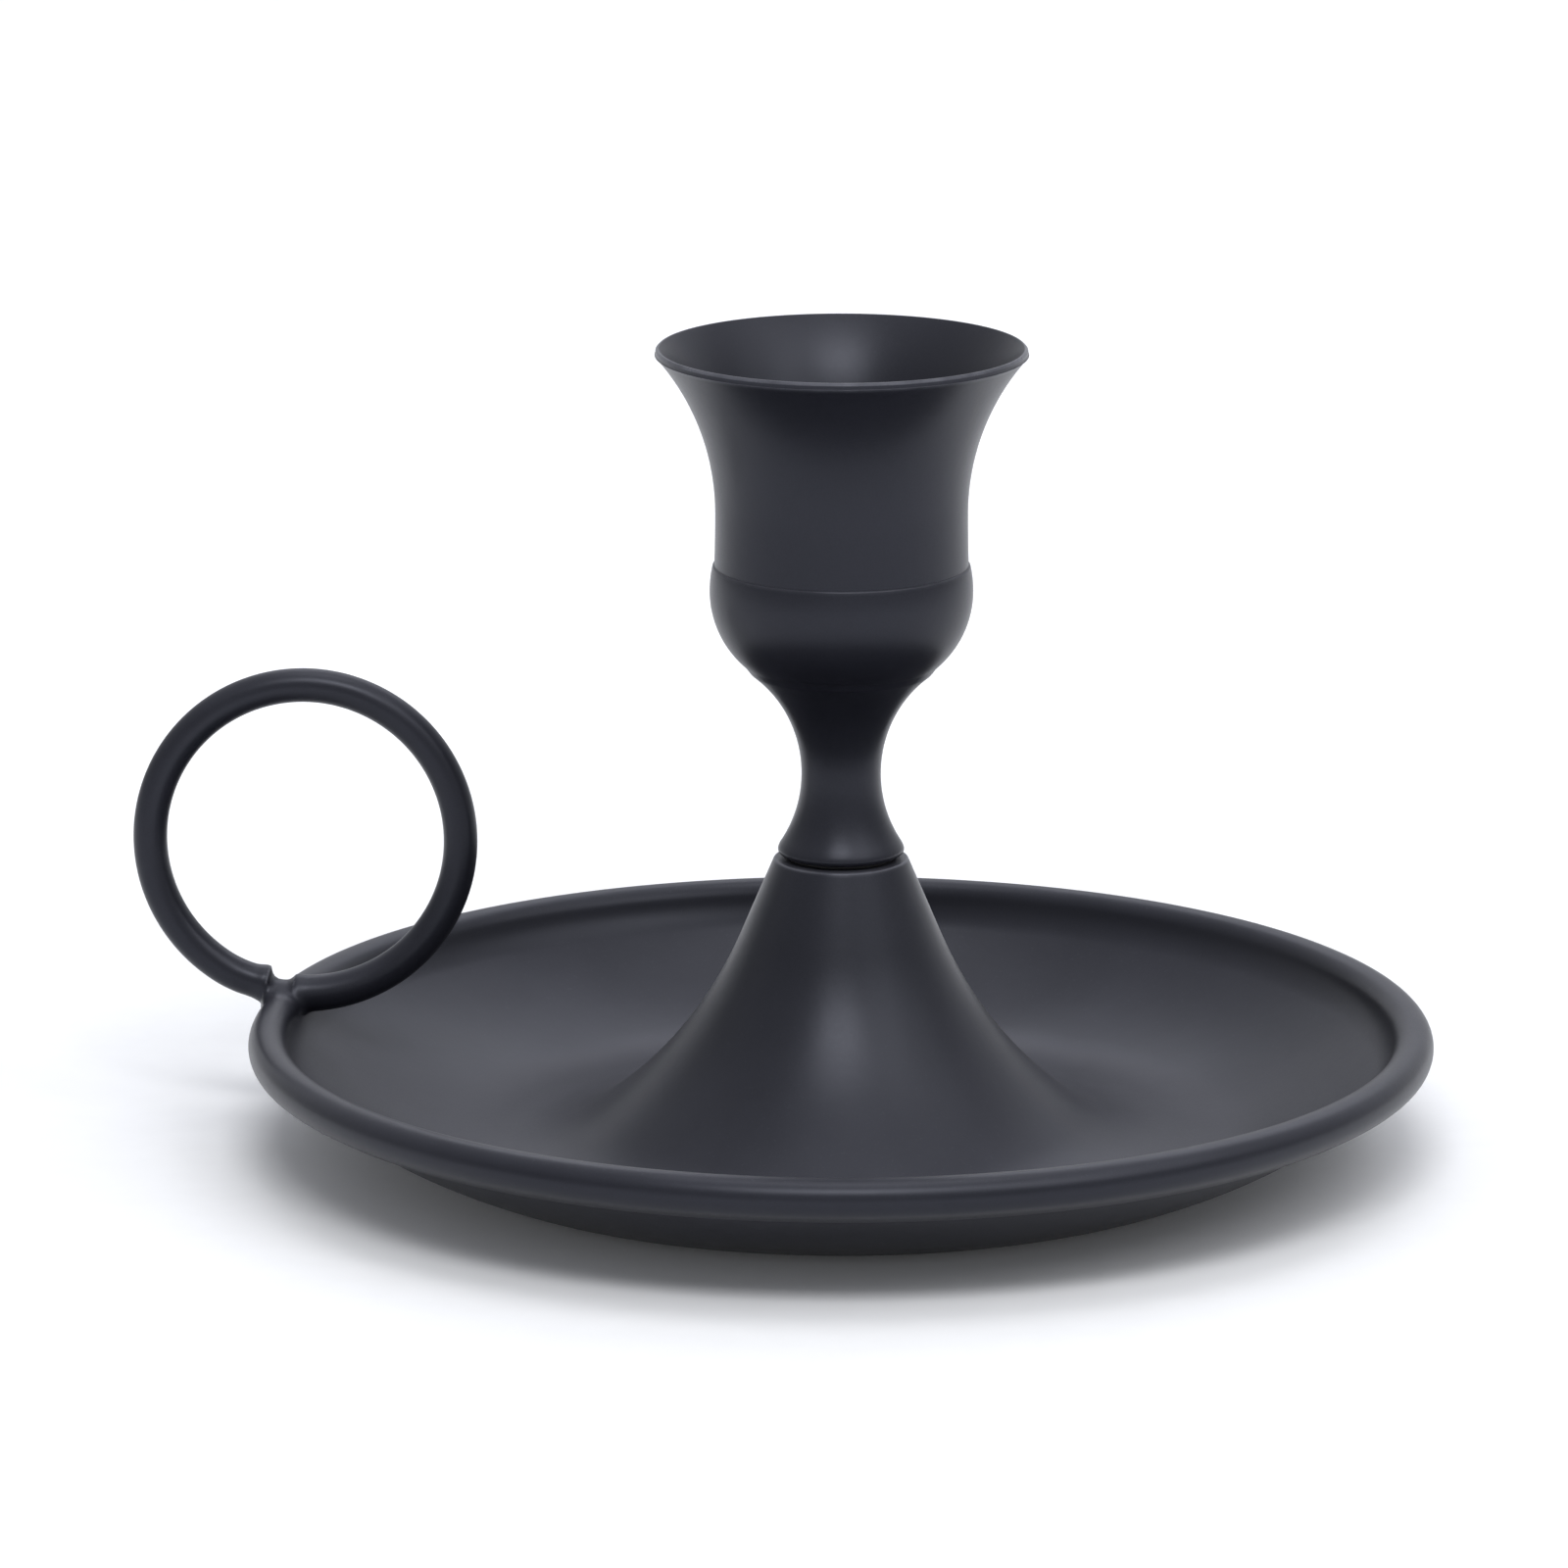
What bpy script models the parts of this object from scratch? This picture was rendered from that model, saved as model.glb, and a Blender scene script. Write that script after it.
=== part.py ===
"""Chamberstick: a saucer with a trumpet middle and a ring handle, under a screwed-on stem and candle cup."""

from math import acos, asin, atan2, ceil, cos, hypot, pi, radians, sin, sqrt, tan

import bmesh
import bpy
from mathutils import Matrix, Vector

MM = 0.001

# Clearances
SEAT_GAP = 0.3 * MM
SCREW_GAP = 0.3 * MM

# Saucer: one pressed sheet
SHEET = 1.0 * MM
PLATE_RADIUS = 60.0 * MM
RIM_HEIGHT = 13.6 * MM
BEAD_RADIUS = 2.0 * MM
NECK_RADIUS = 0.4 * MM
NECK_ANGLE = radians(205)
BEAD_EDGE_ANGLE = radians(-60)
BEAD_TAIL = 1.4 * MM
FOOT_RADIUS = 38.0 * MM
FOOT_BEND = 2.5 * MM
WALL_HOLLOW = radians(6.27)

# Trumpet in the middle of the saucer
ROOF_HEIGHT = 30.2 * MM
ROOF_RADIUS = 6.75 * MM
ROOF_BEND = 1.2 * MM
CONE_ANGLE = radians(23)
CONE_DEPTH = 8.2 * MM
FLARE_RADIUS = 44.0 * MM
FLOOR_FILLET = 10.0 * MM

# Ring handle: a round ring that stands a little twisted and leaning on the rim
ROD_RADIUS = 1.73 * MM
RING_RADIUS = 15.93 * MM
RING_INSET = 1.99 * MM
RING_RISE = 17.76 * MM
RING_TWIST = radians(9.3)
RING_LEAN = radians(3.5)
OUTER_END_ROOM = 0.55 * MM
INNER_END_OFFSET = 0.8 * MM
BRAZE_WIDTH = 3.0 * MM
BRAZE_COVER = 0.75 * MM
BRAZE_LOW = 0.6 * MM
BRAZE_ROUND = 0.25 * MM
BRAZE_ROUND_STEPS = 2
COPE_LENGTH = 12.0 * MM

# Screws, washers and the thread that the head turns on
BASE_THREAD_RADIUS = 2.5 * MM
BASE_THREAD_PITCH = 0.8 * MM
BASE_THREAD_TURNS = 8
BASE_HEAD_RADIUS = 4.6 * MM
BASE_HEAD_HEIGHT = 3.2 * MM
CUP_THREAD_RADIUS = 2.0 * MM
CUP_THREAD_DEPTH = 7.5 * MM
CUP_HEAD_RADIUS = 4.0 * MM
CUP_HEAD_HEIGHT = 2.4 * MM
HEAD_ROUND = 0.8 * MM
TIP_CHAMFER = 0.5 * MM
RECESS_WIDTH = 0.9 * MM
RECESS_SPAN = 4.4 * MM
RECESS_DEPTH = 1.3 * MM
BORE_END_ROOM = 0.8 * MM
BASE_WASHER_RADIUS = 5.2 * MM
BASE_WASHER_THICKNESS = 1.0 * MM
CUP_WASHER_RADIUS = 4.5 * MM
CUP_WASHER_THICKNESS = 0.8 * MM
SEAT_WASHER_RADIUS = 5.5 * MM
SEAT_WASHER_THICKNESS = 0.8 * MM

# Stem
STEM_FOOT_RADIUS = 6.3 * MM
STEM_FOOT_RECESS = 0.7 * MM
STEM_WAIST_RADIUS = 4.0 * MM
STEM_WAIST_RISE = 8.3 * MM
STEM_HEIGHT = 18.65 * MM
STEM_CURVE_RADIUS = 13.2 * MM
STEM_TOP_LAND = 0.3 * MM
STEM_EDGE = 0.15 * MM

# Candle cup: bowl and sleeve
CUP_WALL = 0.7 * MM
BOWL_RADIUS = 13.22 * MM
BOWL_CURVE_RADIUS = 9.95 * MM
BOWL_BELLY_RISE = 8.15 * MM
BOWL_MOUTH_RISE = 10.55 * MM
BOWL_CORNER = 1.2 * MM
SLEEVE_WAIST_RADIUS = 12.65 * MM
SLEEVE_WAIST_RISE = 5.3 * MM
SLEEVE_LOWER_CURVE = 68.0 * MM
SLEEVE_FLARE_CURVE = 25.4 * MM
SLEEVE_HEIGHT = 21.6 * MM
SPIGOT_DEPTH = 3.2 * MM
SPIGOT_LEAD = 0.8 * MM

# Facets: how far a curve's chords may leave it, and how many go round each piece
CURVE_TOLERANCE = 0.06 * MM
POINT_TOLERANCE = 0.0001 * MM
SMOOTH_ANGLE = radians(35)
SAUCER_SIDES = 60
CUP_SIDES = 40
STEM_SIDES = 32
FASTENER_SIDES = 20
ROD_SIDES = 12
RING_STEPS = 40
COPE_SIDES = 40

# Finishes: colour, roughness and metallic value
BLACK_COAT = ((0.018, 0.019, 0.023, 1.0), 0.45, 0.0)
BARE_STEEL = ((0.52, 0.52, 0.5, 1.0), 0.35, 1.0)
DARK_RUBBER = ((0.008, 0.008, 0.009, 1.0), 0.7, 0.0)

# Heights and places that follow from the sizes above
BEAD_REACH = PLATE_RADIUS - BEAD_RADIUS
BEAD_HEIGHT = RIM_HEIGHT - BEAD_RADIUS
NECK_REACH = BEAD_REACH + (BEAD_RADIUS + NECK_RADIUS) * cos(NECK_ANGLE)
NECK_HEIGHT = BEAD_HEIGHT + (BEAD_RADIUS + NECK_RADIUS) * sin(NECK_ANGLE)
FOOT_SLOPE = atan2(NECK_HEIGHT - SHEET, NECK_REACH - FOOT_RADIUS) - WALL_HOLLOW
RING_REACH = BEAD_REACH - RING_INSET
RING_HEIGHT = BEAD_HEIGHT + RING_RISE
BASE_BORE_RADIUS = BASE_THREAD_RADIUS + SCREW_GAP
CUP_BORE_RADIUS = CUP_THREAD_RADIUS + SCREW_GAP
SEAT_WASHER_BOTTOM = ROOF_HEIGHT + SEAT_GAP
SEAT_WASHER_TOP = SEAT_WASHER_BOTTOM + SEAT_WASHER_THICKNESS
STEM_RECESS_TOP = SEAT_WASHER_TOP + SEAT_GAP
STEM_BOTTOM = STEM_RECESS_TOP - STEM_FOOT_RECESS
STEM_TOP = STEM_BOTTOM + STEM_HEIGHT
THREAD_ENGAGEMENT = BASE_THREAD_PITCH * BASE_THREAD_TURNS
BASE_SCREW_TIP = STEM_RECESS_TOP + THREAD_ENGAGEMENT
BASE_WASHER_TOP = ROOF_HEIGHT - SHEET - SEAT_GAP
BASE_WASHER_BOTTOM = BASE_WASHER_TOP - BASE_WASHER_THICKNESS
BASE_HEAD_TOP = BASE_WASHER_BOTTOM - SEAT_GAP
BOWL_BOTTOM = STEM_TOP + SEAT_GAP
BOWL_FLOOR = BOWL_BOTTOM + CUP_WALL
BOWL_MOUTH = BOWL_BOTTOM + BOWL_MOUTH_RISE
CUP_WASHER_BOTTOM = BOWL_FLOOR + SEAT_GAP
CUP_WASHER_TOP = CUP_WASHER_BOTTOM + CUP_WASHER_THICKNESS
CUP_HEAD_BOTTOM = CUP_WASHER_TOP + SEAT_GAP
CUP_SCREW_TIP = STEM_TOP - CUP_THREAD_DEPTH
SLEEVE_BOTTOM = BOWL_MOUTH + SEAT_GAP
RING_NARROWING = sqrt(1 - (sin(RING_TWIST) * cos(RING_LEAN)) ** 2)
RING_OUTER_REACH = RING_REACH + RING_RADIUS * RING_NARROWING + ROD_RADIUS
CANDLE_AXIS_X = (RING_OUTER_REACH - PLATE_RADIUS) / 2

# The bead's centre seen from the ring's centre, in the ring's own plane
BEAD_BELOW_RING = RING_RISE / cos(RING_LEAN)
BEAD_BEYOND_RING = (RING_INSET + RING_RISE * tan(RING_LEAN) * sin(RING_TWIST)) / cos(RING_TWIST)


def clear_objects():
    for old in list(bpy.data.objects):
        bpy.data.objects.remove(old, do_unlink=True)


def material(name, finish):
    colour, roughness, metallic = finish
    made = bpy.data.materials.new(name)
    made.use_nodes = True
    shader = made.node_tree.nodes["Principled BSDF"]
    shader.inputs["Base Color"].default_value = colour
    shader.inputs["Roughness"].default_value = roughness
    shader.inputs["Metallic"].default_value = metallic
    made.diffuse_color = colour
    return made


def spread(first, last, steps):
    return [first + (last - first) * step / steps for step in range(steps + 1)]


def arc_steps(radius, angle):
    """How many chords keep an arc within the curve tolerance."""
    widest = 2 * acos(1 - CURVE_TOLERANCE / radius)
    return ceil(abs(angle) / widest)


def arc(centre, radius, start, end):
    """Points on a circle with the side of the path's left hand as their normal."""
    turn = 1 if end > start else -1
    made = []
    for angle in spread(start, end, arc_steps(radius, end - start)):
        out = (cos(angle), sin(angle))
        point = (centre[0] + radius * out[0], centre[1] + radius * out[1])
        made.append((point, (-turn * out[0], -turn * out[1])))
    return made


def straight(start, end):
    length = hypot(end[0] - start[0], end[1] - start[1])
    along = ((end[0] - start[0]) / length, (end[1] - start[1]) / length)
    left = (-along[1], along[0])
    return [(start, left), (end, left)]


def joined(*stretches):
    """One path from stretches that meet tangentially, without the doubled points."""
    path = []
    for stretch in stretches:
        for point, normal in stretch:
            if not path or hypot(point[0] - path[-1][0][0], point[1] - path[-1][0][1]) > POINT_TOLERANCE:
                path.append((point, normal))
    return path


def sheet_outline(path, thickness):
    """A closed outline whose face is the path and whose back lies one thickness to its right."""
    face = [point for point, _ in path]
    back = [(p[0] - thickness * n[0], p[1] - thickness * n[1]) for p, n in path]
    return face + back[::-1]


def points_of(path):
    return [point for point, _ in path]


def turned(name, outline, sides, finish, parent, closed=True):
    """A solid of revolution about the candle's axis from an outline of radius and height."""
    shape = bmesh.new()
    ring = [shape.verts.new((r, 0, z)) for r, z in outline]
    pairs = list(zip(ring, ring[1:]))
    if closed:
        pairs.append((ring[-1], ring[0]))
    edges = [shape.edges.new(pair) for pair in pairs]
    bmesh.ops.spin(
        shape, geom=ring + edges, cent=(0, 0, 0), axis=(0, 0, 1), angle=2 * pi, steps=sides, use_merge=True
    )
    bmesh.ops.remove_doubles(shape, verts=shape.verts, dist=POINT_TOLERANCE)
    return finished(name, shape, finish, parent)


def finished(name, shape, finish, parent):
    bmesh.ops.recalc_face_normals(shape, faces=shape.faces)
    mesh = bpy.data.meshes.new(name)
    shape.to_mesh(mesh)
    shape.free()
    mesh.shade_smooth()
    mesh.set_sharp_from_angle(angle=SMOOTH_ANGLE)
    made = bpy.data.objects.new(name, mesh)
    mesh.materials.append(finish)
    bpy.context.scene.collection.objects.link(made)
    made.parent = parent
    return made


def cutter(name, shape, parent):
    bmesh.ops.recalc_face_normals(shape, faces=shape.faces)
    mesh = bpy.data.meshes.new(name)
    shape.to_mesh(mesh)
    shape.free()
    made = bpy.data.objects.new(name, mesh)
    bpy.context.scene.collection.objects.link(made)
    made.parent = parent
    made.hide_render = True
    made.display_type = "WIRE"
    return made


def cut(piece, tool):
    step = piece.modifiers.new(tool.name, "BOOLEAN")
    step.operation = "DIFFERENCE"
    step.solver = "EXACT"
    step.object = tool


def saucer_face():
    """The saucer's upper face, from the roof's hole out over the trumpet and pan and round the rim bead.

    The bead ends in a straight tail that lies under the wall."""
    hole = (BASE_BORE_RADIUS, ROOF_HEIGHT)
    bend_centre = (ROOF_RADIUS - ROOF_BEND * tan((pi / 2 - CONE_ANGLE) / 2), ROOF_HEIGHT - ROOF_BEND)
    roof_bend = arc(bend_centre, ROOF_BEND, pi / 2, CONE_ANGLE)

    cone_end = (ROOF_RADIUS + CONE_DEPTH * tan(CONE_ANGLE), ROOF_HEIGHT - CONE_DEPTH)
    flare_centre = (cone_end[0] + FLARE_RADIUS * cos(CONE_ANGLE), cone_end[1] + FLARE_RADIUS * sin(CONE_ANGLE))
    fillet_height = SHEET + FLOOR_FILLET
    reach = FLARE_RADIUS - FLOOR_FILLET
    fillet_angle = asin((flare_centre[1] - fillet_height) / reach)
    fillet_centre = (flare_centre[0] - reach * cos(fillet_angle), fillet_height)
    flare = arc(flare_centre, FLARE_RADIUS, pi + CONE_ANGLE, pi + fillet_angle)
    floor_fillet = arc(fillet_centre, FLOOR_FILLET, pi + fillet_angle, 1.5 * pi)

    foot_centre = (FOOT_RADIUS, SHEET + FOOT_BEND)
    foot_bend = arc(foot_centre, FOOT_BEND, -pi / 2, -pi / 2 + FOOT_SLOPE)

    bead_centre = (BEAD_REACH, BEAD_HEIGHT)
    neck_centre = (NECK_REACH, NECK_HEIGHT)
    wall_radius, wall_centre, wall_slope = dish_wall(foot_bend[-1][0], FOOT_SLOPE, neck_centre)
    wall = arc(wall_centre, wall_radius, -pi / 2 + FOOT_SLOPE, -pi / 2 + wall_slope)
    neck = arc(neck_centre, NECK_RADIUS, -pi / 2 + wall_slope, NECK_ANGLE - pi)
    bead = arc(bead_centre, BEAD_RADIUS, NECK_ANGLE, BEAD_EDGE_ANGLE)
    tail_start = bead[-1][0]
    tail_end = (
        tail_start[0] + BEAD_TAIL * sin(BEAD_EDGE_ANGLE),
        tail_start[1] - BEAD_TAIL * cos(BEAD_EDGE_ANGLE),
    )
    return joined(
        straight(hole, roof_bend[0][0]),
        roof_bend,
        flare,
        floor_fillet,
        foot_bend,
        wall,
        neck,
        bead,
        straight(tail_start, tail_end),
    )


def dish_wall(start, slope, neck_centre):
    """The wall's arc: it leaves the foot at its slope and passes under the neck's fillet, touching it."""
    lifted = (start[0] - NECK_RADIUS * sin(slope), start[1] + NECK_RADIUS * cos(slope))
    across = neck_centre[0] - lifted[0]
    up = neck_centre[1] - lifted[1]
    chord_slope = atan2(up, across)
    inner_radius = hypot(across, up) / (2 * sin(chord_slope - slope))
    radius = inner_radius + NECK_RADIUS
    centre = (start[0] - radius * sin(slope), start[1] + radius * cos(slope))
    return radius, centre, 2 * chord_slope - slope


def make_saucer(parent, finish):
    outline = sheet_outline(saucer_face(), SHEET)
    return turned("saucer", outline, SAUCER_SIDES, finish, parent)


def bead_guide(name, parent):
    """A bar along the rim at the handle, one gap thicker than the bead all round."""
    radius = BEAD_RADIUS + SEAT_GAP
    shape = bmesh.new()
    bmesh.ops.create_cone(
        shape, cap_ends=True, segments=COPE_SIDES, radius1=radius, radius2=radius, depth=COPE_LENGTH
    )
    bmesh.ops.rotate(shape, verts=shape.verts, cent=(0, 0, 0), matrix=Matrix.Rotation(pi / 2, 3, "X"))
    bmesh.ops.translate(shape, verts=shape.verts, vec=(-BEAD_REACH, 0, BEAD_HEIGHT))
    return cutter(name, shape, parent)


def ring_point(outwards, across, above):
    """A point given from the ring's centre in the ring's own plane, in the part's directions."""
    turn = Matrix.Rotation(RING_TWIST, 3, "Z") @ Matrix.Rotation(-RING_LEAN, 3, "X")
    return Vector((-RING_REACH, 0, RING_HEIGHT)) + turn @ Vector((-outwards, across, above))


def end_angle(offset):
    """The angle about the ring's centre, from straight down and outwards, of a rod end.

    The end's flat face passes the bead's centre at this offset, positive outwards."""
    reach = hypot(BEAD_BEYOND_RING, BEAD_BELOW_RING)
    return asin(offset / reach) + atan2(BEAD_BEYOND_RING, BEAD_BELOW_RING)


def outer_end_angle():
    return end_angle(BEAD_RADIUS + SEAT_GAP + OUTER_END_ROOM)


def inner_end_angle():
    return end_angle(-INNER_END_OFFSET)


def prism(rings):
    """A closed solid through rings of vertices, one after the other."""
    shape = bmesh.new()
    loops = [[shape.verts.new(point) for point in ring] for ring in rings]
    for one, two in zip(loops, loops[1:]):
        for index in range(len(one)):
            after = (index + 1) % len(one)
            shape.faces.new((one[index], one[after], two[after], two[index]))
    shape.faces.new(loops[0])
    shape.faces.new(loops[-1])
    return shape


def make_handle_ring(parent, finish):
    """The rod, bent from its outer end up and over to its inner end, which is coped over the bead."""
    rings = []
    for angle in spread(outer_end_angle(), 2 * pi + inner_end_angle(), RING_STEPS):
        ring = []
        for side in range(ROD_SIDES):
            turn = 2 * pi * (side + 0.5) / ROD_SIDES
            radius = RING_RADIUS + ROD_RADIUS * cos(turn)
            ring.append(ring_point(radius * sin(angle), ROD_RADIUS * sin(turn), -radius * cos(angle)))
        rings.append(ring)
    rod = finished("handle_ring", prism(rings), finish, parent)
    cut(rod, bead_guide("ring_cope_guide", parent))
    return rod


def on_end_face(angle, gap, rise):
    """A point on a rod end's face, or a gap away from it, at a rise over the bead's centre.

    It is given outwards and upwards from the ring's centre in the ring's plane."""
    above = rise - BEAD_BELOW_RING
    return (gap - above * sin(angle)) / cos(angle), above


def make_handle_braze(parent, finish):
    """The filler that saddles the bead between the rod's two ends."""
    rise = BEAD_RADIUS + SEAT_GAP + BRAZE_COVER
    outline = [
        on_end_face(inner_end_angle(), SEAT_GAP, BRAZE_LOW),
        on_end_face(outer_end_angle(), -SEAT_GAP, BRAZE_LOW),
        on_end_face(outer_end_angle(), -SEAT_GAP, rise),
        on_end_face(inner_end_angle(), SEAT_GAP, rise),
    ]
    rings = [
        [ring_point(outwards, across, above) for outwards, above in outline]
        for across in (-BRAZE_WIDTH / 2, BRAZE_WIDTH / 2)
    ]
    braze = finished("handle_braze", prism(rings), finish, parent)
    rounding = braze.modifiers.new("rounded_edges", "BEVEL")
    rounding.width = BRAZE_ROUND
    rounding.segments = BRAZE_ROUND_STEPS
    cut(braze, bead_guide("braze_cope_guide", parent))
    return braze


def make_washer(name, parent, finish, hole, radius, bottom, thickness):
    outline = [(hole, bottom + thickness), (radius, bottom + thickness), (radius, bottom), (hole, bottom)]
    return turned(name, outline, FASTENER_SIDES, finish, parent)


def cross_prism(first, last):
    """A plus-shaped bar between two heights, for a screw head's recess."""
    long = RECESS_SPAN / 2
    short = RECESS_WIDTH / 2
    arm = [(long, -short), (long, short), (short, short)]
    rings = []
    for height in (first, last):
        ring = []
        for quarter in range(4):
            turn = Matrix.Rotation(quarter * pi / 2, 3, "Z")
            ring += [turn @ Vector((x, y, height)) for x, y in arm]
        rings.append(ring)
    return prism(rings)


def make_screw(name, parent, finish, seat, tip, shank_radius, head_radius, head_height):
    """A pan-head screw: seat is the height of the head's bearing face, tip that of the shank's end."""
    up = 1 if tip > seat else -1
    crown = seat - up * head_height
    chamfer = tip - up * TIP_CHAMFER
    corner = [
        (head_radius - HEAD_ROUND * (1 - sin(angle)), crown + up * HEAD_ROUND * (1 - cos(angle)))
        for angle in spread(0, pi / 2, arc_steps(HEAD_ROUND, pi / 2))
    ]
    outline = [(0, crown)] + corner
    outline += [(head_radius, seat), (shank_radius, seat), (shank_radius, chamfer)]
    outline += [(shank_radius - TIP_CHAMFER, tip), (0, tip)]
    screw = turned(name, outline, FASTENER_SIDES, finish, parent, closed=False)
    shape = cross_prism(crown - up * RECESS_DEPTH, crown + up * RECESS_DEPTH)
    cut(screw, cutter(name + "_recess_guide", shape, parent))
    return screw


def make_stem(parent, finish):
    """The waisted spool, tapped at both ends, with a shallow recess for the seat washer under its foot."""
    waist = STEM_BOTTOM + STEM_WAIST_RISE
    centre = (STEM_WAIST_RADIUS + STEM_CURVE_RADIUS, waist)
    foot_angle = pi - asin(-sqrt(STEM_CURVE_RADIUS**2 - (centre[0] - STEM_FOOT_RADIUS) ** 2) / STEM_CURVE_RADIUS)
    top_angle = pi - asin((STEM_TOP - STEM_TOP_LAND - waist) / STEM_CURVE_RADIUS)
    side = points_of(arc(centre, STEM_CURVE_RADIUS, top_angle, foot_angle))
    top_radius = side[0][0]
    recess_radius = SEAT_WASHER_RADIUS + SEAT_GAP
    outline = [(0, STEM_TOP - CUP_THREAD_DEPTH - BORE_END_ROOM)]
    outline += [(CUP_BORE_RADIUS, STEM_TOP - CUP_THREAD_DEPTH - BORE_END_ROOM), (CUP_BORE_RADIUS, STEM_TOP)]
    outline += [(top_radius - STEM_EDGE, STEM_TOP), (top_radius, STEM_TOP - STEM_EDGE)]
    outline += side
    outline += [(STEM_FOOT_RADIUS, STEM_BOTTOM + STEM_EDGE), (STEM_FOOT_RADIUS - STEM_EDGE, STEM_BOTTOM)]
    outline += [(recess_radius, STEM_BOTTOM), (recess_radius, STEM_RECESS_TOP)]
    outline += [(BASE_BORE_RADIUS, STEM_RECESS_TOP), (BASE_BORE_RADIUS, BASE_SCREW_TIP + BORE_END_ROOM)]
    outline += [(0, BASE_SCREW_TIP + BORE_END_ROOM)]
    return turned("stem", outline, STEM_SIDES, finish, parent, closed=False)


def make_cup_bowl(parent, finish):
    """The bulb: a pressed shell whose mouth takes the sleeve's spigot and whose floor sits on the stem."""
    belly = (BOWL_RADIUS - BOWL_CURVE_RADIUS, BOWL_BOTTOM + BOWL_BELLY_RISE)
    reach = BOWL_CURVE_RADIUS - BOWL_CORNER
    corner_height = BOWL_BOTTOM + BOWL_CORNER
    corner_angle = asin((corner_height - belly[1]) / reach)
    corner_centre = (belly[0] + reach * cos(corner_angle), corner_height)
    mouth_angle = asin((BOWL_MOUTH - belly[1]) / BOWL_CURVE_RADIUS)
    side = arc(belly, BOWL_CURVE_RADIUS, mouth_angle, corner_angle)
    corner = arc(corner_centre, BOWL_CORNER, corner_angle, -pi / 2)
    base = straight(corner[-1][0], (CUP_BORE_RADIUS, BOWL_BOTTOM))
    return turned("cup_bowl", sheet_outline(joined(side, corner, base), CUP_WALL), CUP_SIDES, finish, parent)


def bowl_mouth_radius():
    """The bore of the bowl's mouth at its narrowest, which is its rim."""
    belly_reach = BOWL_MOUTH_RISE - BOWL_BELLY_RISE
    return BOWL_RADIUS - BOWL_CURVE_RADIUS + sqrt((BOWL_CURVE_RADIUS - CUP_WALL) ** 2 - belly_reach**2)


def make_cup_sleeve(parent, finish):
    """The flared socket, with a shoulder over the bowl's rim and a spigot inside it."""
    waist_height = SLEEVE_BOTTOM + SLEEVE_WAIST_RISE
    flare_centre = (SLEEVE_WAIST_RADIUS + SLEEVE_FLARE_CURVE, waist_height)
    lower_centre = (SLEEVE_WAIST_RADIUS + SLEEVE_LOWER_CURVE, waist_height)
    lip_angle = pi - asin((SLEEVE_HEIGHT - SLEEVE_WAIST_RISE) / SLEEVE_FLARE_CURVE)
    shoulder_angle = pi + asin(SLEEVE_WAIST_RISE / SLEEVE_LOWER_CURVE)
    outside = joined(
        arc(flare_centre, SLEEVE_FLARE_CURVE, lip_angle, pi),
        arc(lower_centre, SLEEVE_LOWER_CURVE, pi, shoulder_angle),
    )
    spigot_radius = bowl_mouth_radius() - SEAT_GAP
    spigot_bore = spigot_radius - CUP_WALL
    spigot_bottom = SLEEVE_BOTTOM - SPIGOT_DEPTH
    inside = [(p[0] - CUP_WALL * n[0], p[1] - CUP_WALL * n[1]) for p, n in outside]
    lead_top = SLEEVE_BOTTOM + CUP_WALL + SPIGOT_LEAD
    inside = [point for point in inside if point[1] > lead_top]
    outline = points_of(outside)
    outline += [(spigot_radius, SLEEVE_BOTTOM), (spigot_radius, spigot_bottom)]
    outline += [(spigot_bore, spigot_bottom), (spigot_bore, SLEEVE_BOTTOM + CUP_WALL)]
    outline += [(lower_wall_bore(lower_centre, lead_top), lead_top)]
    outline += inside[::-1]
    return turned("cup_sleeve", outline, CUP_SIDES, finish, parent)


def lower_wall_bore(centre, height):
    """The sleeve's bore at a height on its lower curve."""
    return centre[0] - sqrt((SLEEVE_LOWER_CURVE + CUP_WALL) ** 2 - (centre[1] - height) ** 2)


def main():
    clear_objects()
    axis = bpy.data.objects.new("candle_axis", None)
    axis.location = (CANDLE_AXIS_X, 0, 0)
    bpy.context.scene.collection.objects.link(axis)

    make_saucer(axis, material("saucer_coat", BLACK_COAT))
    make_handle_ring(axis, material("handle_coat", BLACK_COAT))
    make_handle_braze(axis, material("braze_coat", BLACK_COAT))
    make_screw(
        "base_screw",
        axis,
        material("base_screw_steel", BARE_STEEL),
        BASE_HEAD_TOP,
        BASE_SCREW_TIP,
        BASE_THREAD_RADIUS,
        BASE_HEAD_RADIUS,
        BASE_HEAD_HEIGHT,
    )
    make_washer(
        "base_washer",
        axis,
        material("base_washer_steel", BARE_STEEL),
        BASE_BORE_RADIUS,
        BASE_WASHER_RADIUS,
        BASE_WASHER_BOTTOM,
        BASE_WASHER_THICKNESS,
    )
    make_washer(
        "seat_washer",
        axis,
        material("seat_washer_rubber", DARK_RUBBER),
        BASE_BORE_RADIUS,
        SEAT_WASHER_RADIUS,
        SEAT_WASHER_BOTTOM,
        SEAT_WASHER_THICKNESS,
    )
    make_stem(axis, material("stem_coat", BLACK_COAT))
    make_cup_bowl(axis, material("bowl_coat", BLACK_COAT))
    make_cup_sleeve(axis, material("sleeve_coat", BLACK_COAT))
    make_washer(
        "cup_washer",
        axis,
        material("cup_washer_steel", BARE_STEEL),
        CUP_BORE_RADIUS,
        CUP_WASHER_RADIUS,
        CUP_WASHER_BOTTOM,
        CUP_WASHER_THICKNESS,
    )
    make_screw(
        "cup_screw",
        axis,
        material("cup_screw_steel", BARE_STEEL),
        CUP_HEAD_BOTTOM,
        CUP_SCREW_TIP,
        CUP_THREAD_RADIUS,
        CUP_HEAD_RADIUS,
        CUP_HEAD_HEIGHT,
    )


if __name__ == "__main__":
    main()
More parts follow.
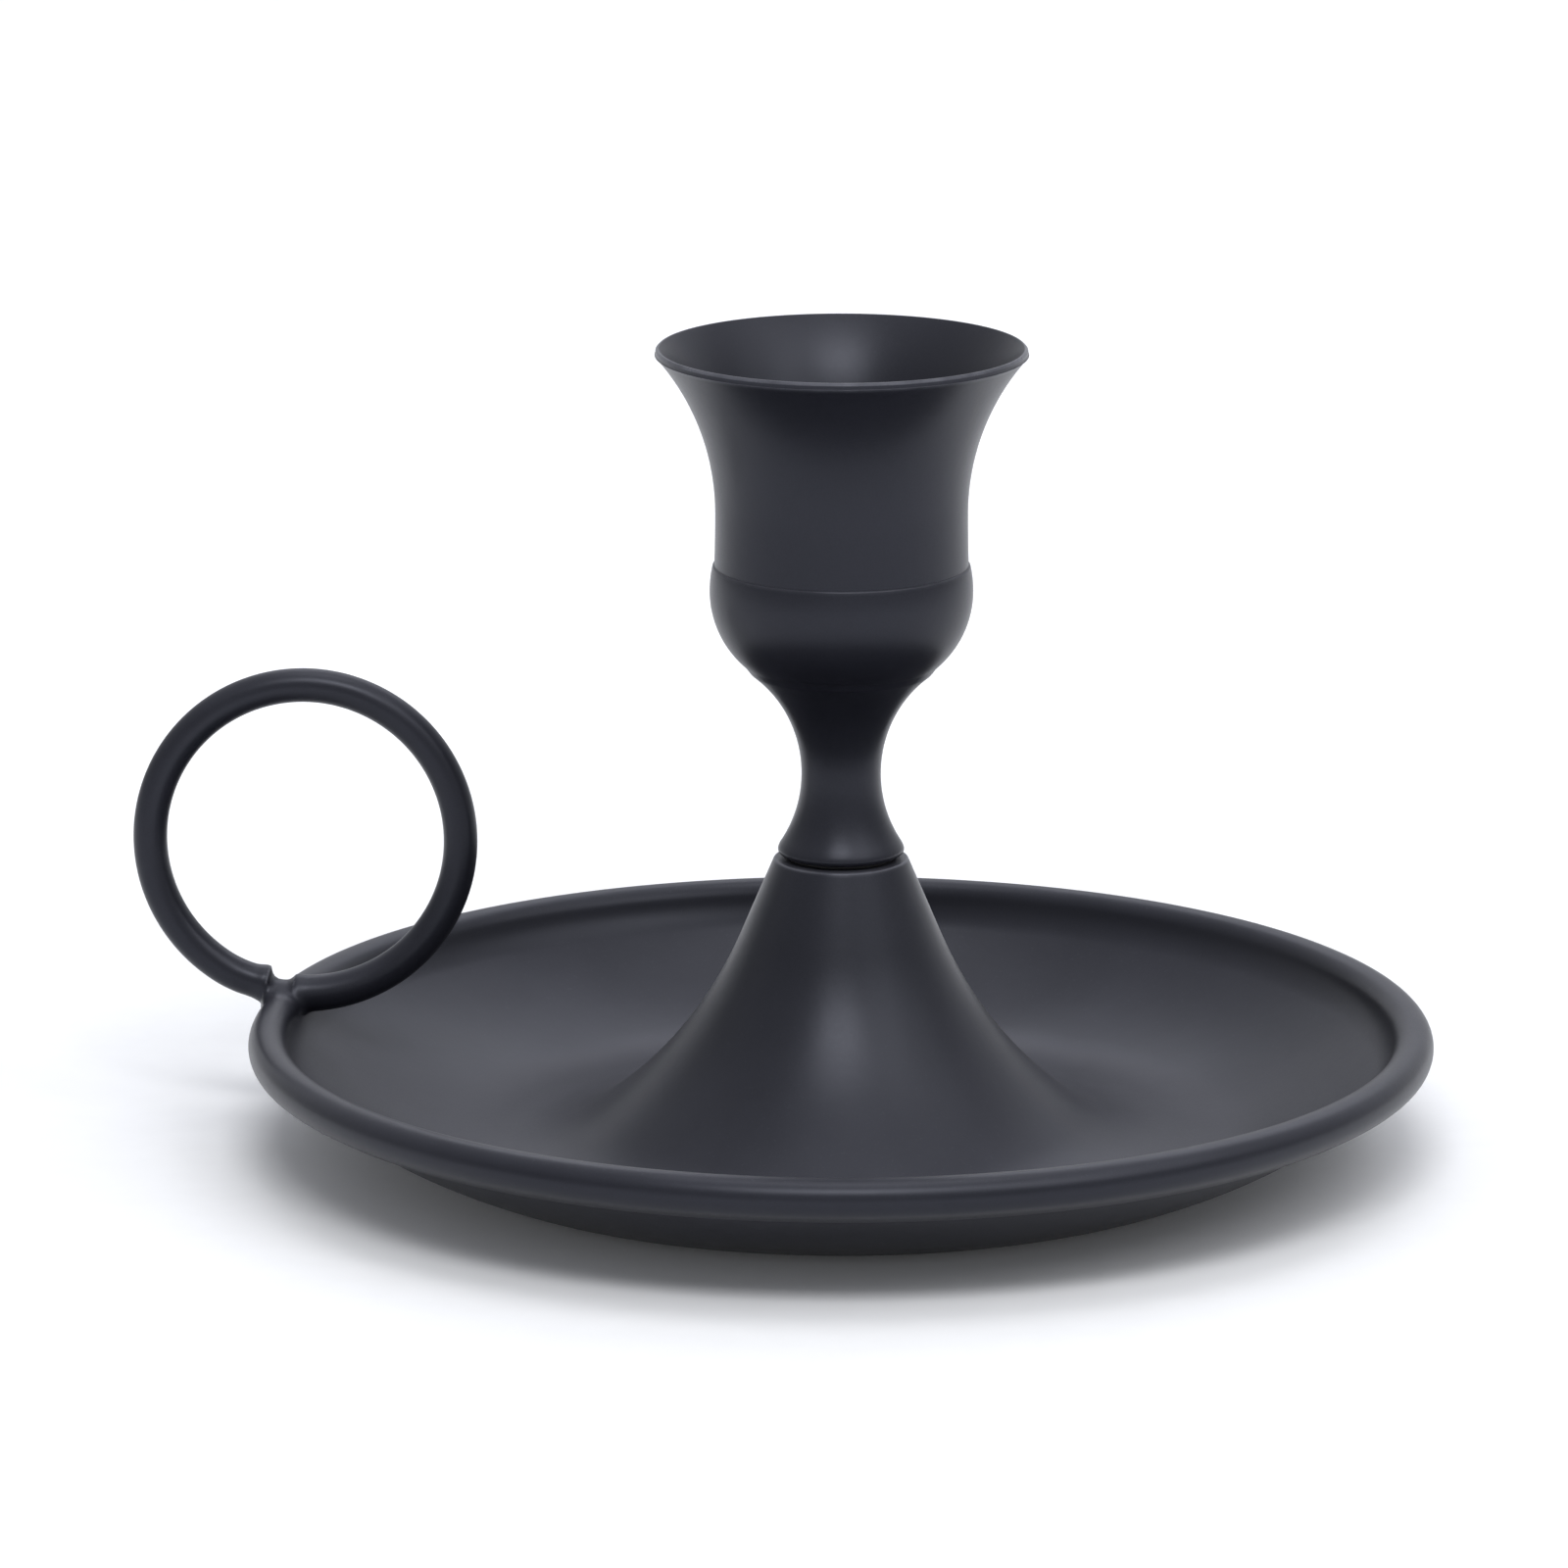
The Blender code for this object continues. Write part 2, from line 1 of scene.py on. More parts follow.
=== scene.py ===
"""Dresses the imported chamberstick: fine turned shapes, coat, steel and rubber finishes, studio, camera.

The file is laid out as an add-on and is run as a script. All lengths are in metres.
"""

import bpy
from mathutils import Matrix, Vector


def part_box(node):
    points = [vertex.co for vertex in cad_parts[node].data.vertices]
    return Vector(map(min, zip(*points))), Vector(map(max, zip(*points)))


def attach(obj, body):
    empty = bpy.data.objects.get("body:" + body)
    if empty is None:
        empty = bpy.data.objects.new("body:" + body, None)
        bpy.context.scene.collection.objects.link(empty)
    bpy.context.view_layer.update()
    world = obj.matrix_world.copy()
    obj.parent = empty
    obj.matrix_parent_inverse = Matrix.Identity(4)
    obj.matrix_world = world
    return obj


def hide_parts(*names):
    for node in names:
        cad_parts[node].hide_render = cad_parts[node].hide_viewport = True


bl_info = {
    "name": "Chamberstick dressing",
    "version": (1, 0, 0),
    "blender": (4, 5, 0),
    "location": "3D View > Sidebar > Chamberstick",
    "description": "Builds the fine shapes, finishes, studio and camera of a black chamberstick",
    "category": "Object",
}

from math import acos, asin, atan2, ceil, cos, hypot, pi, radians, sin, sqrt, tan

import bmesh
import bpy
import numpy as np
from mathutils import Matrix, Vector

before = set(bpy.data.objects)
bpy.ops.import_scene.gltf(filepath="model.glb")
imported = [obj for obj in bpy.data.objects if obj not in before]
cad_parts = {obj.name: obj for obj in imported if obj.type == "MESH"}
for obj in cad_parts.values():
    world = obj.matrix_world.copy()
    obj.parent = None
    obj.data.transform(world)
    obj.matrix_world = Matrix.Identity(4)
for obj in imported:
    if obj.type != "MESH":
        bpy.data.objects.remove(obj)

# How far the straight steps of an arc may stand inside it
FINE = 0.000004
# Points closer together than this are one
SAME_POINT = 0.0000001
# The air that keeps touching pieces from crossing
FILM = 0.00001
# Faces that meet at more than this show a crisp edge
CRISP = radians(40)
# Bulges, one over their radius in metres, at which an edge starts to count and counts in full
FIRST_BULGE, FULL_BULGE = 700, 3300
# Sides of the turned pieces
SAUCER_SIDES, CUP_SIDES, STEM_SIDES, WASHER_SIDES, HEAD_SIDES, THREAD_SIDES = 288, 256, 192, 128, 96, 48
# Steps along the trumpet's straight cone and up the stem's collar
FLANK_STEPS = 24


def low_of(node):
    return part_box(node)[0]


def high_of(node):
    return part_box(node)[1]


def radius_of(node):
    """The outer radius of a round node that stands on the candle's axis."""
    low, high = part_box(node)
    return (high.x - low.x) / 2


AXIS_X = (low_of("cup_sleeve").x + high_of("cup_sleeve").x) / 2


def length(name, description, default):
    return bpy.props.FloatProperty(
        name=name, description=description, default=default, min=0, unit="LENGTH", precision=5, step=0.01
    )


def angle(name, description, default):
    turn = radians(default)
    return bpy.props.FloatProperty(name=name, description=description, default=turn, unit="ROTATION")


def share(name, description, default):
    return bpy.props.FloatProperty(
        name=name, description=description, default=default, min=0, max=1, subtype="FACTOR", precision=3
    )


def amount(name, description, default):
    return bpy.props.FloatProperty(name=name, description=description, default=default, min=0)


def colour(name, description, default):
    return bpy.props.FloatVectorProperty(
        name=name, description=description, default=default, size=3, min=0, max=1, subtype="COLOR"
    )


def spot(name, description, default):
    return bpy.props.FloatVectorProperty(
        name=name, description=description, default=default, size=3, unit="LENGTH", precision=5,
        subtype="TRANSLATION",
    )


class SaucerSizes(bpy.types.PropertyGroup):
    """The saucer's section, from the trumpet's roof out to the rolled rim"""

    sheet: length("Sheet", "Thickness of the steel sheet", 0.001)
    bore: length("Bore", "Radius of the screw's hole in the roof", 0.0028)
    roof_radius: length("Roof radius", "Radius at which the trumpet's roof would meet its cone", 0.00675)
    roof_bend: length("Roof bend", "Radius of the bend at the roof's edge", 0.0003)
    roof_lift: length(
        "Roof lift", "How far the roof stands over the CAD's, in the gap under the washer", 0.00028
    )
    cone_angle: angle("Cone angle", "Slope of the trumpet's cone from upright", 23)
    cone_depth: length("Cone depth", "Height from the roof down to the flare", 0.0082)
    flare: length("Flare", "Radius of the trumpet's hollow flare", 0.044)
    floor_fillet: length("Floor fillet", "Radius of the bend into the pan's floor", 0.016)
    foot_radius: length("Foot radius", "Radius of the flat ring that stands on the table", 0.0352)
    foot_bend: length("Foot bend", "Radius of the bend from the foot into the wall", 0.02)
    wall_slope: angle("Wall slope", "Slope of the wall where it leaves the foot", 22.02)
    rim_height: length("Rim height", "Height of the rolled rim over the table", 0.0136)
    neck: length("Neck", "Radius of the soft hollow between the wall and the rolled rim", 0.005)
    neck_angle: angle("Neck angle", "Where round the rolled rim that hollow ends", 168)
    bead: length("Bead", "Outer radius of the rolled rim's section", 0.002)
    bead_edge: angle("Bead edge", "Where round its section the roll turns straight", -60)
    bead_tail: length("Bead tail", "Straight length at the roll's end", 0.0014)


class HandleSizes(bpy.types.PropertyGroup):
    """The ring handle and its weld on the rim"""

    rod: length("Rod", "Radius of the handle's rod", 0.00173)
    ring: length("Ring", "Radius of the ring at the rod's middle", 0.01593)
    inset: length("Inset", "How far inside the rim's middle the ring's centre stands", 0.00199)
    rise: length("Rise", "Height of the ring's centre over the rim's middle", 0.01776)
    twist: angle("Twist", "How far the ring is turned out of the radial plane", 9.3)
    lean: angle("Lean", "How far the ring leans sideways", 3.5)
    outer_end: length("Outer end", "How far outside the rim's middle the rod's outer end stops", 0.0025)
    inner_end: length("Inner end", "How far the rod's inner end stops short of that middle", 0.0008)
    weld: length("Weld", "Radius of the weld that runs between the rod's ends", 0.00175)
    weld_drop: length("Weld drop", "How far the weld sags between the rod's ends", 0.0009)
    rod_edge: length("Rod edge", "Radius of the rounded edges at the rod's ends", 0.0006)
    end_lift: length("End lift", "How far the rod's outer end is lifted off the ring's circle", 0.0003)
    bend_length: length("Bend length", "Length of the rod over which that end is lifted", 0.005)
    inner_swell: length("Inner swell", "How far the rod's radius grows towards its inner end", 0.0002)
    swell_length: length("Swell length", "Length of the rod over which it grows", 0.02)
    rod_fillet: length("Rod fillet", "Reach of the fillets round the rod's ends", 0.0009)
    rim_fillet: length("Rim fillet", "Reach of the weld's fillets over the rim", 0.0028)


class StemSizes(bpy.types.PropertyGroup):
    """The waisted spool between the saucer and the cup"""

    foot_radius: length(
        "Foot radius", "Radius at which the hollow side turns into the foot's straight flare", 0.0062
    )
    foot_edge: length("Foot edge", "Radius of the foot's lowest edge", 0.00662)
    recess: length("Recess", "Depth of the seat washer's recess", 0.0007)
    waist_radius: length("Waist radius", "Radius of the waist", 0.004)
    waist_rise: length("Waist rise", "Height of the waist over the foot", 0.0083)
    curve: length("Curve", "Radius of the stem's hollow side", 0.0132)
    edge: length("Edge", "Radius of the foot's rounded lower edge", 0.0005)
    seat_room: length("Seat room", "Room round the seat washer in its recess", 0.0003)
    collar_low: length(
        "Collar low", "How far under the bulb's floor the stem starts to close on the bulb", 0.0003
    )
    collar_high: length("Collar high", "How far over the bulb's floor the stem's collar ends", 0.0006)
    bore: length("Bore", "Radius of the threaded hole for the saucer's screw", 0.0028)
    bore_depth: length("Bore depth", "Depth of that hole over the seat washer", 0.0072)


class CupSizes(bpy.types.PropertyGroup):
    """The bulb and the flared sleeve of the candle cup"""

    wall: length("Wall", "Thickness of the cup's sheet", 0.0007)
    bulb_radius: length("Bulb radius", "Radius of the bulb at its widest", 0.01322)
    bulb_curve: length("Bulb curve", "Radius of the bulb's section", 0.00995)
    bulb_belly: length("Bulb belly", "Height of the widest place over the bulb's floor", 0.00815)
    bulb_upper: length("Bulb upper curve", "Radius of the section over the widest place", 0.0115)
    bulb_corner: length("Bulb corner", "Radius of the bend into the bulb's floor", 0.0012)
    bulb_bore: length("Bulb bore", "Radius of the screw's hole in the bulb's floor", 0.0023)
    sleeve_waist: length("Sleeve waist", "Radius of the sleeve at its waist", 0.01265)
    sleeve_waist_rise: length("Sleeve waist rise", "Height of the waist over the seam", 0.0053)
    sleeve_lower: length("Sleeve lower curve", "Radius of the side under the waist", 0.15)
    sleeve_flare: length("Sleeve flare", "Radius of the flare over the waist", 0.0248)
    sleeve_wall: length("Sleeve wall", "Thickness of the sleeve's flared wall", 0.0007)
    lip_height: length("Lip height", "Height of the lip's upright face", 0.00066)
    lip_bevel: length("Lip bevel", "Height of the bevel round the lip's outer edge", 0.00022)
    lip_edge: length("Lip edge", "Radius of the lip's rounded corners", 0.00008)
    lip_inner: length("Lip inner", "Height of the bevel inside the lip", 0.0001)
    spigot: length("Spigot", "Outer radius of the spigot in the bulb's mouth", 0.0119034)
    spigot_lead: length("Spigot lead", "Height of the slope inside over the spigot", 0.0008)
    seam_gap: length(
        "Seam gap", "Height of the CAD's gap at the seam, which the bulb's mouth closes here", 0.0003
    )
    seam_edge: length("Seam edge", "Radius of the bulb's rounded edge at the seam", 0.00022)
    seam_turn: angle("Seam turn", "How far round that edge its flat ledge begins", 80)


class FastenerSizes(bpy.types.PropertyGroup):
    """The two screws, their washers and the seat washer"""

    base_thread: length("Base thread", "Outer radius of the saucer screw's thread", 0.0025)
    base_pitch: length("Base pitch", "Pitch of the saucer screw's thread", 0.0008)
    cup_thread: length("Cup thread", "Outer radius of the cup screw's thread", 0.002)
    cup_pitch: length("Cup pitch", "Pitch of the cup screw's thread", 0.0007)
    base_head_height: length("Base head height", "Height of the saucer screw's head", 0.0032)
    cup_head_height: length("Cup head height", "Height of the cup screw's head", 0.0024)
    head_round: length("Head round", "Radius of the heads' rounded edge", 0.0008)
    recess_span: length("Recess span", "Length of the cross recess", 0.0044)
    recess_width: length("Recess width", "Width of the cross recess's arms", 0.0009)
    recess_depth: length("Recess depth", "Depth of the cross recess", 0.0013)
    wide_bore: length(
        "Wide bore", "Radius of the holes in the saucer screw's washer and the seat washer", 0.0028
    )
    small_bore: length("Small bore", "Radius of the hole in the cup screw's washer", 0.0023)
    washer_edge: length("Washer edge", "Radius of the washers' rounded edges", 0.00015)


class FinishSettings(bpy.types.PropertyGroup):
    """Colours and surface character of the coat, the steel and the rubber"""

    coat: colour("Coat", "Colour of the powder coat", (0.0105, 0.0108, 0.0150))
    coat_roughness: share("Coat roughness", "Roughness of the powder coat", 0.35)
    peel: length("Peel size", "Width of the coat's soft ripples", 0.0011)
    grain: length("Grain size", "Width of the coat's fine grains", 0.00016)
    steel: colour("Steel", "Colour of the zinc plated steel", (0.52, 0.52, 0.5))
    rubber: colour("Rubber", "Colour of the seat washer", (0.008, 0.008, 0.009))
    # Edge burnish: wear, partly a painted edge highlight in the light Edge colour
    wear: share("Wear", "How far edges are burnished", 0.75)
    edge: colour("Edge", "Colour of the coat where it is burnished", (0.11, 0.112, 0.13))
    # Dust, on the coat partly a painted bluish sheen on up-facing places
    dust: share("Dust", "How much fine dust lies on level places", 0.24)


class StageSettings(bpy.types.PropertyGroup):
    """The studio's floor, lights and camera"""

    floor: colour("Floor", "Colour of the floor and backdrop", (0.92, 0.928, 0.95))
    background: amount(
        "Background", "Brightness that the floor and backdrop add for the camera and reflections", 0.18
    )
    background_near: amount("Background near", "The same brightness on the floor close to the object", 0.02)
    near: length("Near", "Radius of the floor that counts as close to the object", 0.075)
    far: length("Far", "Radius from which the floor has the full brightness", 0.2)
    sky: amount("Sky", "Strength of the light from all round", 0.52)
    sky_colour: colour("Sky colour", "Colour of the light from all round", (0.95, 0.965, 1.0))
    front_light: amount("Front light", "Power of the light over the camera in watts", 5.8)
    corner_light: amount("Corner light", "Power of the light over the front right corner in watts", 2.0)
    right_light: amount("Right light", "Power of the high light on the right in watts", 2.2)
    back_light: amount("Back light", "Power of the high light behind in watts", 2.6)
    back_colour: colour("Back colour", "Colour of the high light behind", (0.9, 0.915, 1.0))
    top_light: amount("Top light", "Power of the light straight above in watts", 2.4)
    camera_place: spot("Camera place", "Where the camera stands", (0.18828, -0.8541, 0.25107))
    camera_aim: spot("Camera aim", "The point in the middle of the picture", (0.001445, -0.002756, 0.038426))
    lens: bpy.props.FloatProperty(
        name="Lens", description="Focal length on a 36 mm wide sensor", default=204.91, min=1,
        subtype="DISTANCE_CAMERA",
    )


class ChamberstickSettings(bpy.types.PropertyGroup):
    """All sizes and finishes of the dressed chamberstick"""

    saucer: bpy.props.PointerProperty(type=SaucerSizes)
    handle: bpy.props.PointerProperty(type=HandleSizes)
    stem: bpy.props.PointerProperty(type=StemSizes)
    cup: bpy.props.PointerProperty(type=CupSizes)
    fasteners: bpy.props.PointerProperty(type=FastenerSizes)
    finish: bpy.props.PointerProperty(type=FinishSettings)
    stage: bpy.props.PointerProperty(type=StageSettings)


# Sections: paths of points, each with the normal on the left of the way


def spread(first, last, steps):
    """Evenly spaced values with both ends."""
    return [first + (last - first) * step / steps for step in range(steps + 1)]


def round_from(centre, radius, turn):
    """The point at a distance and an angle from a centre."""
    return (centre[0] + radius * cos(turn), centre[1] + radius * sin(turn))


def arc(centre, radius, start, end):
    """A path round a centre from one angle to another."""
    steps = max(4, ceil(abs(end - start) / (2 * acos(1 - min(1, FINE / radius)))))
    turn = 1 if end > start else -1
    made = []
    for place in spread(start, end, steps):
        made.append((round_from(centre, radius, place), (-turn * cos(place), -turn * sin(place))))
    return made


def straight(start, end, steps=1):
    """A straight path between two points."""
    span = hypot(end[0] - start[0], end[1] - start[1])
    left = (-(end[1] - start[1]) / span, (end[0] - start[0]) / span)
    return [
        ((start[0] + (end[0] - start[0]) * t, start[1] + (end[1] - start[1]) * t), left)
        for t in spread(0, 1, steps)
    ]


def joined(*stretches):
    """Stretches one after the other, without the points that they share."""
    path = []
    for stretch in stretches:
        for point, normal in stretch:
            if not path or hypot(point[0] - path[-1][0][0], point[1] - path[-1][0][1]) > SAME_POINT:
                path.append((point, normal))
    return path


def points_of(path):
    return [point for point, _ in path]


def offset(path, distance):
    """The path's points moved to the right of the way."""
    return [(p[0] - distance * n[0], p[1] - distance * n[1]) for p, n in path]


def sheet_outline(path, thickness):
    """A closed outline whose face is the path and whose back lies to its right, with a round far edge."""
    point, normal = path[-1]
    middle = (point[0] - normal[0] * thickness / 2, point[1] - normal[1] * thickness / 2)
    start = atan2(normal[1], normal[0])
    end = points_of(arc(middle, thickness / 2, start, start - pi))[1:-1]
    return points_of(path) + end + offset(path, thickness)[::-1]


def rounded(outline, radii):
    """An outline with its corners rounded, one radius for each corner and 0 for a sharp one."""
    made = []
    for index, (corner, radius) in enumerate(zip(outline, radii)):
        if not radius:
            made.append(corner)
            continue
        here = Vector(corner)
        back = (Vector(outline[index - 1]) - here).normalized()
        ahead = (Vector(outline[(index + 1) % len(outline)]) - here).normalized()
        half = back.angle(ahead) / 2
        centre = here + (back + ahead).normalized() * radius / sin(half)
        first = here + back * radius / tan(half) - centre
        turn = back.angle_signed(ahead)
        sweep = (pi - 2 * half) * (1 if turn < 0 else -1)
        start = atan2(first.y, first.x)
        made += points_of(arc(centre, radius, start, start - sweep))
    return made


# Meshes and pieces


def scene_settings():
    return bpy.context.scene.chamberstick


def linked(name, data):
    """A new object in the scene."""
    made = bpy.data.objects.new(name, data)
    bpy.context.scene.collection.objects.link(made)
    return made


def placed(name, mesh, body, finish, nodes):
    """Adds a piece made about the candle's axis, which rides on a body in place of CAD nodes."""
    mark_edges(mesh)
    mesh.materials.clear()
    mesh.materials.append(finish_named(finish))
    made = linked(name, mesh)
    made.location = (AXIS_X, 0, 0)
    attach(made, body)
    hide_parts(*nodes)


def emptied(name, shape):
    """A mesh from a bmesh that it uses up."""
    mesh = bpy.data.meshes.new(name)
    shape.to_mesh(mesh)
    shape.free()
    return mesh


def mesh_from(name, shape):
    """A smooth mesh with crisp edges, made from a bmesh that it uses up."""
    bmesh.ops.remove_doubles(shape, verts=shape.verts, dist=SAME_POINT)
    bmesh.ops.recalc_face_normals(shape, faces=shape.faces)
    mesh = emptied(name, shape)
    mesh.shade_smooth()
    mesh.set_sharp_from_angle(angle=CRISP)
    return mesh


def modified(name, mesh, kind, **settings):
    """A new mesh, made from a mesh by one modifier."""
    holder = linked(name, mesh)
    step = holder.modifiers.new(name, kind)
    for setting, value in settings.items():
        setattr(step, setting, value)
    graph = bpy.context.evaluated_depsgraph_get()
    made = bpy.data.meshes.new_from_object(holder.evaluated_get(graph))
    bpy.data.objects.remove(holder)
    return made


def add_bands(shape, rows, closed):
    """Adds the faces between neighbouring rows of points to a bmesh, closed round each row or open."""
    for one, two in zip(rows, rows[1:]):
        count = len(one)
        for index in range(count if closed else count - 1):
            after = (index + 1) % count
            shape.faces.new((one[index], one[after], two[after], two[index]))


def turned(name, outline, sides, closed=True):
    """A solid of revolution about the upright axis, as a mesh."""
    shape = bmesh.new()
    rings = []
    for side in range(sides):
        place = 2 * pi * side / sides
        rings.append([shape.verts.new((r * cos(place), r * sin(place), z)) for r, z in outline])
    add_bands(shape, rings + rings[:1], closed)
    return mesh_from(name, shape)


def values_of(items, name, width, kind=float):
    """One value of all of a mesh's points or edges, as rows."""
    values = np.empty(len(items) * width, dtype=kind)
    items.foreach_get(name, values)
    return values.reshape(-1, width)


def mark_edges(mesh):
    """Stores how sharply each point bulges, from 0 on flat and hollow places to 1 on lips and edges."""
    points, normals = (values_of(mesh.vertices, name, 3) for name in ("co", "normal"))
    first, second = values_of(mesh.edges, "vertices", 2, np.int32).T
    along = points[second] - points[first]
    turn = normals[second] - normals[first]
    span = np.maximum((along * along).sum(1), SAME_POINT**2)
    bulge = (along * turn).sum(1) / span
    sharpest = np.zeros(len(points))
    np.maximum.at(sharpest, first, bulge)
    np.maximum.at(sharpest, second, bulge)
    edge = mesh.attributes.new("edge", "FLOAT", "POINT")
    share_of_full = np.clip((sharpest - FIRST_BULGE) / (FULL_BULGE - FIRST_BULGE), 0, 1)
    edge.data.foreach_set("value", share_of_full.astype(np.float32))


# Finishes: shader node groups for the effects, then a material for each finish

# Each coat's ripple depth, the size of its clouds and its share of the wear and painted edge highlight
COATS = {
    "saucer_coat": (0.000008, 0.016, 1.0),
    "handle_coat": (0.00001, 0.009, 1.0),
    "stem_coat": (0.000007, 0.01, 0.1),
    "bulb_coat": (0.000008, 0.012, 0.2),
    "cup_coat": (0.000008, 0.012, 1.0),
}
# How much darker and lighter than its colour the coat's clouds and grains make it
COAT_SHADES = (0.8, 1.25)
# The coat's weak, bluish mirror light
COAT_SPECULAR, COAT_TINT = 0.35, (0.83, 0.86, 1.0, 1)
# The spans of plain noise and of fine grain that count, and of the shade that they make
NOISE_SPAN, GRAIN_SPAN, SHADE_SPAN = (0.3, 0.7), (0.25, 0.75), (0.7, 1.3)
# What clouds and grains do to a coat's shade and to its roughness
CLOUD_SHADES, GRAIN_SHADES = (0.88, 1.12), (0.8, 1.2)
CLOUD_ROUGHNESS, GRAIN_ROUGHNESS = (-0.025, 0.025), (-0.03, 0.03)
# The shares of ripples and grains in a coat's height
PEEL_SHARE, GRAIN_SHARE = 0.8, 0.2
# Burnishing with a painted edge highlight: the size of its patches, the span of noise between them,
# how much stays in them, the span of edges that it takes, and how far it smooths the surface
BURNISH_AND_HIGHLIGHT_PATCH, BURNISH_AND_HIGHLIGHT_SPAN, BURNISH_AND_HIGHLIGHT_SHARES = 0.0035, (0.35, 0.65), (0.4, 1.0)
EDGE_SPAN, BURNISH_SMOOTHS = (0.3, 1.0), 0.12
# Dust with a painted sheen: the sizes of its patches and specks, the spans of noise that make them,
# how much lies in patches, the film's and the specks' shares, and how far it roughens the surface
DUST_AND_SHEEN_PATCH, DUST_AND_SHEEN_SPAN, DUST_AND_SHEEN_SHARES = 0.009, (0.35, 0.7), (0.75, 1.05)
DUST_SPECK, SPECK_SPAN = 0.0004, (0.62, 0.72)
FILM_AND_SHEEN_SHARE, SPECK_SHARE, DUST_ROUGHENS = 0.6, 0.3, 0.3
# How far a face turns up before dust and painted sheen lie on it, as the height of its normal
DUST_AND_SHEEN_SLOPE = 0.35
# The colours that dust gives each finish, the coat's partly a painted bluish sheen
COAT_DUST_AND_SHEEN, STEEL_DUST = (0.15, 0.153, 0.19, 1), (0.3, 0.29, 0.28, 1)
RUBBER_DUST = (0.12, 0.115, 0.11, 1)
# Steel: its burnished colour, how dull its clouds make it, their size, and the fineness, depth and
# roughness of its turning marks
STEEL_BRIGHT, STEEL_DULLS, STEEL_CLOUD = (0.66, 0.66, 0.65, 1), 0.72, 0.002
STEEL_MARKS, STEEL_MARK_DEPTH, STEEL_ROUGHNESS = 9000, 0.000004, (0.26, 0.42)
# Rubber: its skin, how light its grains make it, and their depth
RUBBER_SKIN = {"Roughness": 0.72, "Peel Size": 0.0006, "Grain Size": 0.00012, "Cloud Size": 0.004}
RUBBER_LIGHT, RUBBER_PEEL = 1.8, 0.00001


def add_node(tree, kind, settings=(), inputs=()):
    """Adds a node, sets its options, and links or sets its sockets by name or number."""
    made = tree.nodes.new(kind)
    for name, value in dict(settings).items():
        setattr(made, name, value)
    for name, value in dict(inputs).items():
        if isinstance(value, bpy.types.NodeSocket):
            tree.links.new(value, made.inputs[name])
        else:
            made.inputs[name].default_value = value
    return made


def maths(tree, operation, first, second):
    return add_node(tree, "ShaderNodeMath", {"operation": operation}, {0: first, 1: second}).outputs[0]


def times(tree, first, second):
    return maths(tree, "MULTIPLY", first, second)


def plus(tree, first, second):
    return maths(tree, "ADD", first, second)


def noise(tree, vector, size, detail, roughness=0.5):
    """Noise whose features are about one size wide, from 0 to 1."""
    scale = maths(tree, "DIVIDE", 1.0, size)
    inputs = {"Vector": vector, "Scale": scale, "Detail": detail, "Roughness": roughness}
    return add_node(tree, "ShaderNodeTexNoise", {}, inputs).outputs[0]


def remap(tree, value, span, to_span=(0.0, 1.0)):
    """A value moved from one span to another and held inside it."""
    names = ("Value", "From Min", "From Max", "To Min", "To Max")
    inputs = dict(zip(names, (value, *span, *to_span)))
    return add_node(tree, "ShaderNodeMapRange", {"clamp": True}, inputs).outputs[0]


def mixed(tree, mask, first, second):
    """Two colours mixed by a mask."""
    return add_node(tree, "ShaderNodeMix", {"data_type": "RGBA"}, {0: mask, 6: first, 7: second}).outputs[2]


def length_of(tree, vector):
    return add_node(tree, "ShaderNodeVectorMath", {"operation": "LENGTH"}, {0: vector}).outputs["Value"]


def powder_skin(group, given):
    """Soft ripples, fine grain and broad clouding of a sprayed and baked coat."""
    vector, roughness = given["Vector"], given["Roughness"]
    peel = noise(group, vector, given["Peel Size"], detail=1.5)
    grain = noise(group, vector, given["Grain Size"], detail=2.0)
    cloud = noise(group, vector, given["Cloud Size"], detail=3.0)
    height = plus(group, times(group, peel, PEEL_SHARE), times(group, grain, GRAIN_SHARE))
    cloud_shade = remap(group, cloud, NOISE_SPAN, CLOUD_SHADES)
    shade = times(group, cloud_shade, remap(group, grain, GRAIN_SPAN, GRAIN_SHADES))
    cloud_rough = remap(group, cloud, NOISE_SPAN, CLOUD_ROUGHNESS)
    uneven = plus(group, cloud_rough, remap(group, grain, GRAIN_SPAN, GRAIN_ROUGHNESS))
    return shade, plus(group, roughness, uneven), height


def edge_burnish(group, given):
    """Where handling has polished lips and edges, with a painted highlight on them, broken up along them."""
    patches = noise(group, given["Vector"], BURNISH_AND_HIGHLIGHT_PATCH, detail=4.0, roughness=0.6)
    patches = remap(group, patches, BURNISH_AND_HIGHLIGHT_SPAN, BURNISH_AND_HIGHLIGHT_SHARES)
    sharp = maths(group, "POWER", remap(group, given["Edge"], EDGE_SPAN), 2.0)
    return (times(group, times(group, sharp, patches), given["Amount"]),)


def fine_dust(group, given):
    """A film of fine dust and painted sheen on places that face up, a little denser in soft patches and
    specks.
    """
    up = add_node(group, "ShaderNodeSeparateXYZ", {}, {"Vector": given["Normal"]}).outputs["Z"]
    facing = remap(group, up, (DUST_AND_SHEEN_SLOPE, 1.0))
    patches = noise(group, given["Vector"], DUST_AND_SHEEN_PATCH, detail=4.0, roughness=0.6)
    patches = remap(group, patches, DUST_AND_SHEEN_SPAN, DUST_AND_SHEEN_SHARES)
    specks = remap(group, noise(group, given["Vector"], DUST_SPECK, detail=2.0, roughness=0.7), SPECK_SPAN)
    film = plus(group, times(group, patches, FILM_AND_SHEEN_SHARE), times(group, specks, SPECK_SHARE))
    return (times(group, times(group, film, facing), given["Amount"]),)


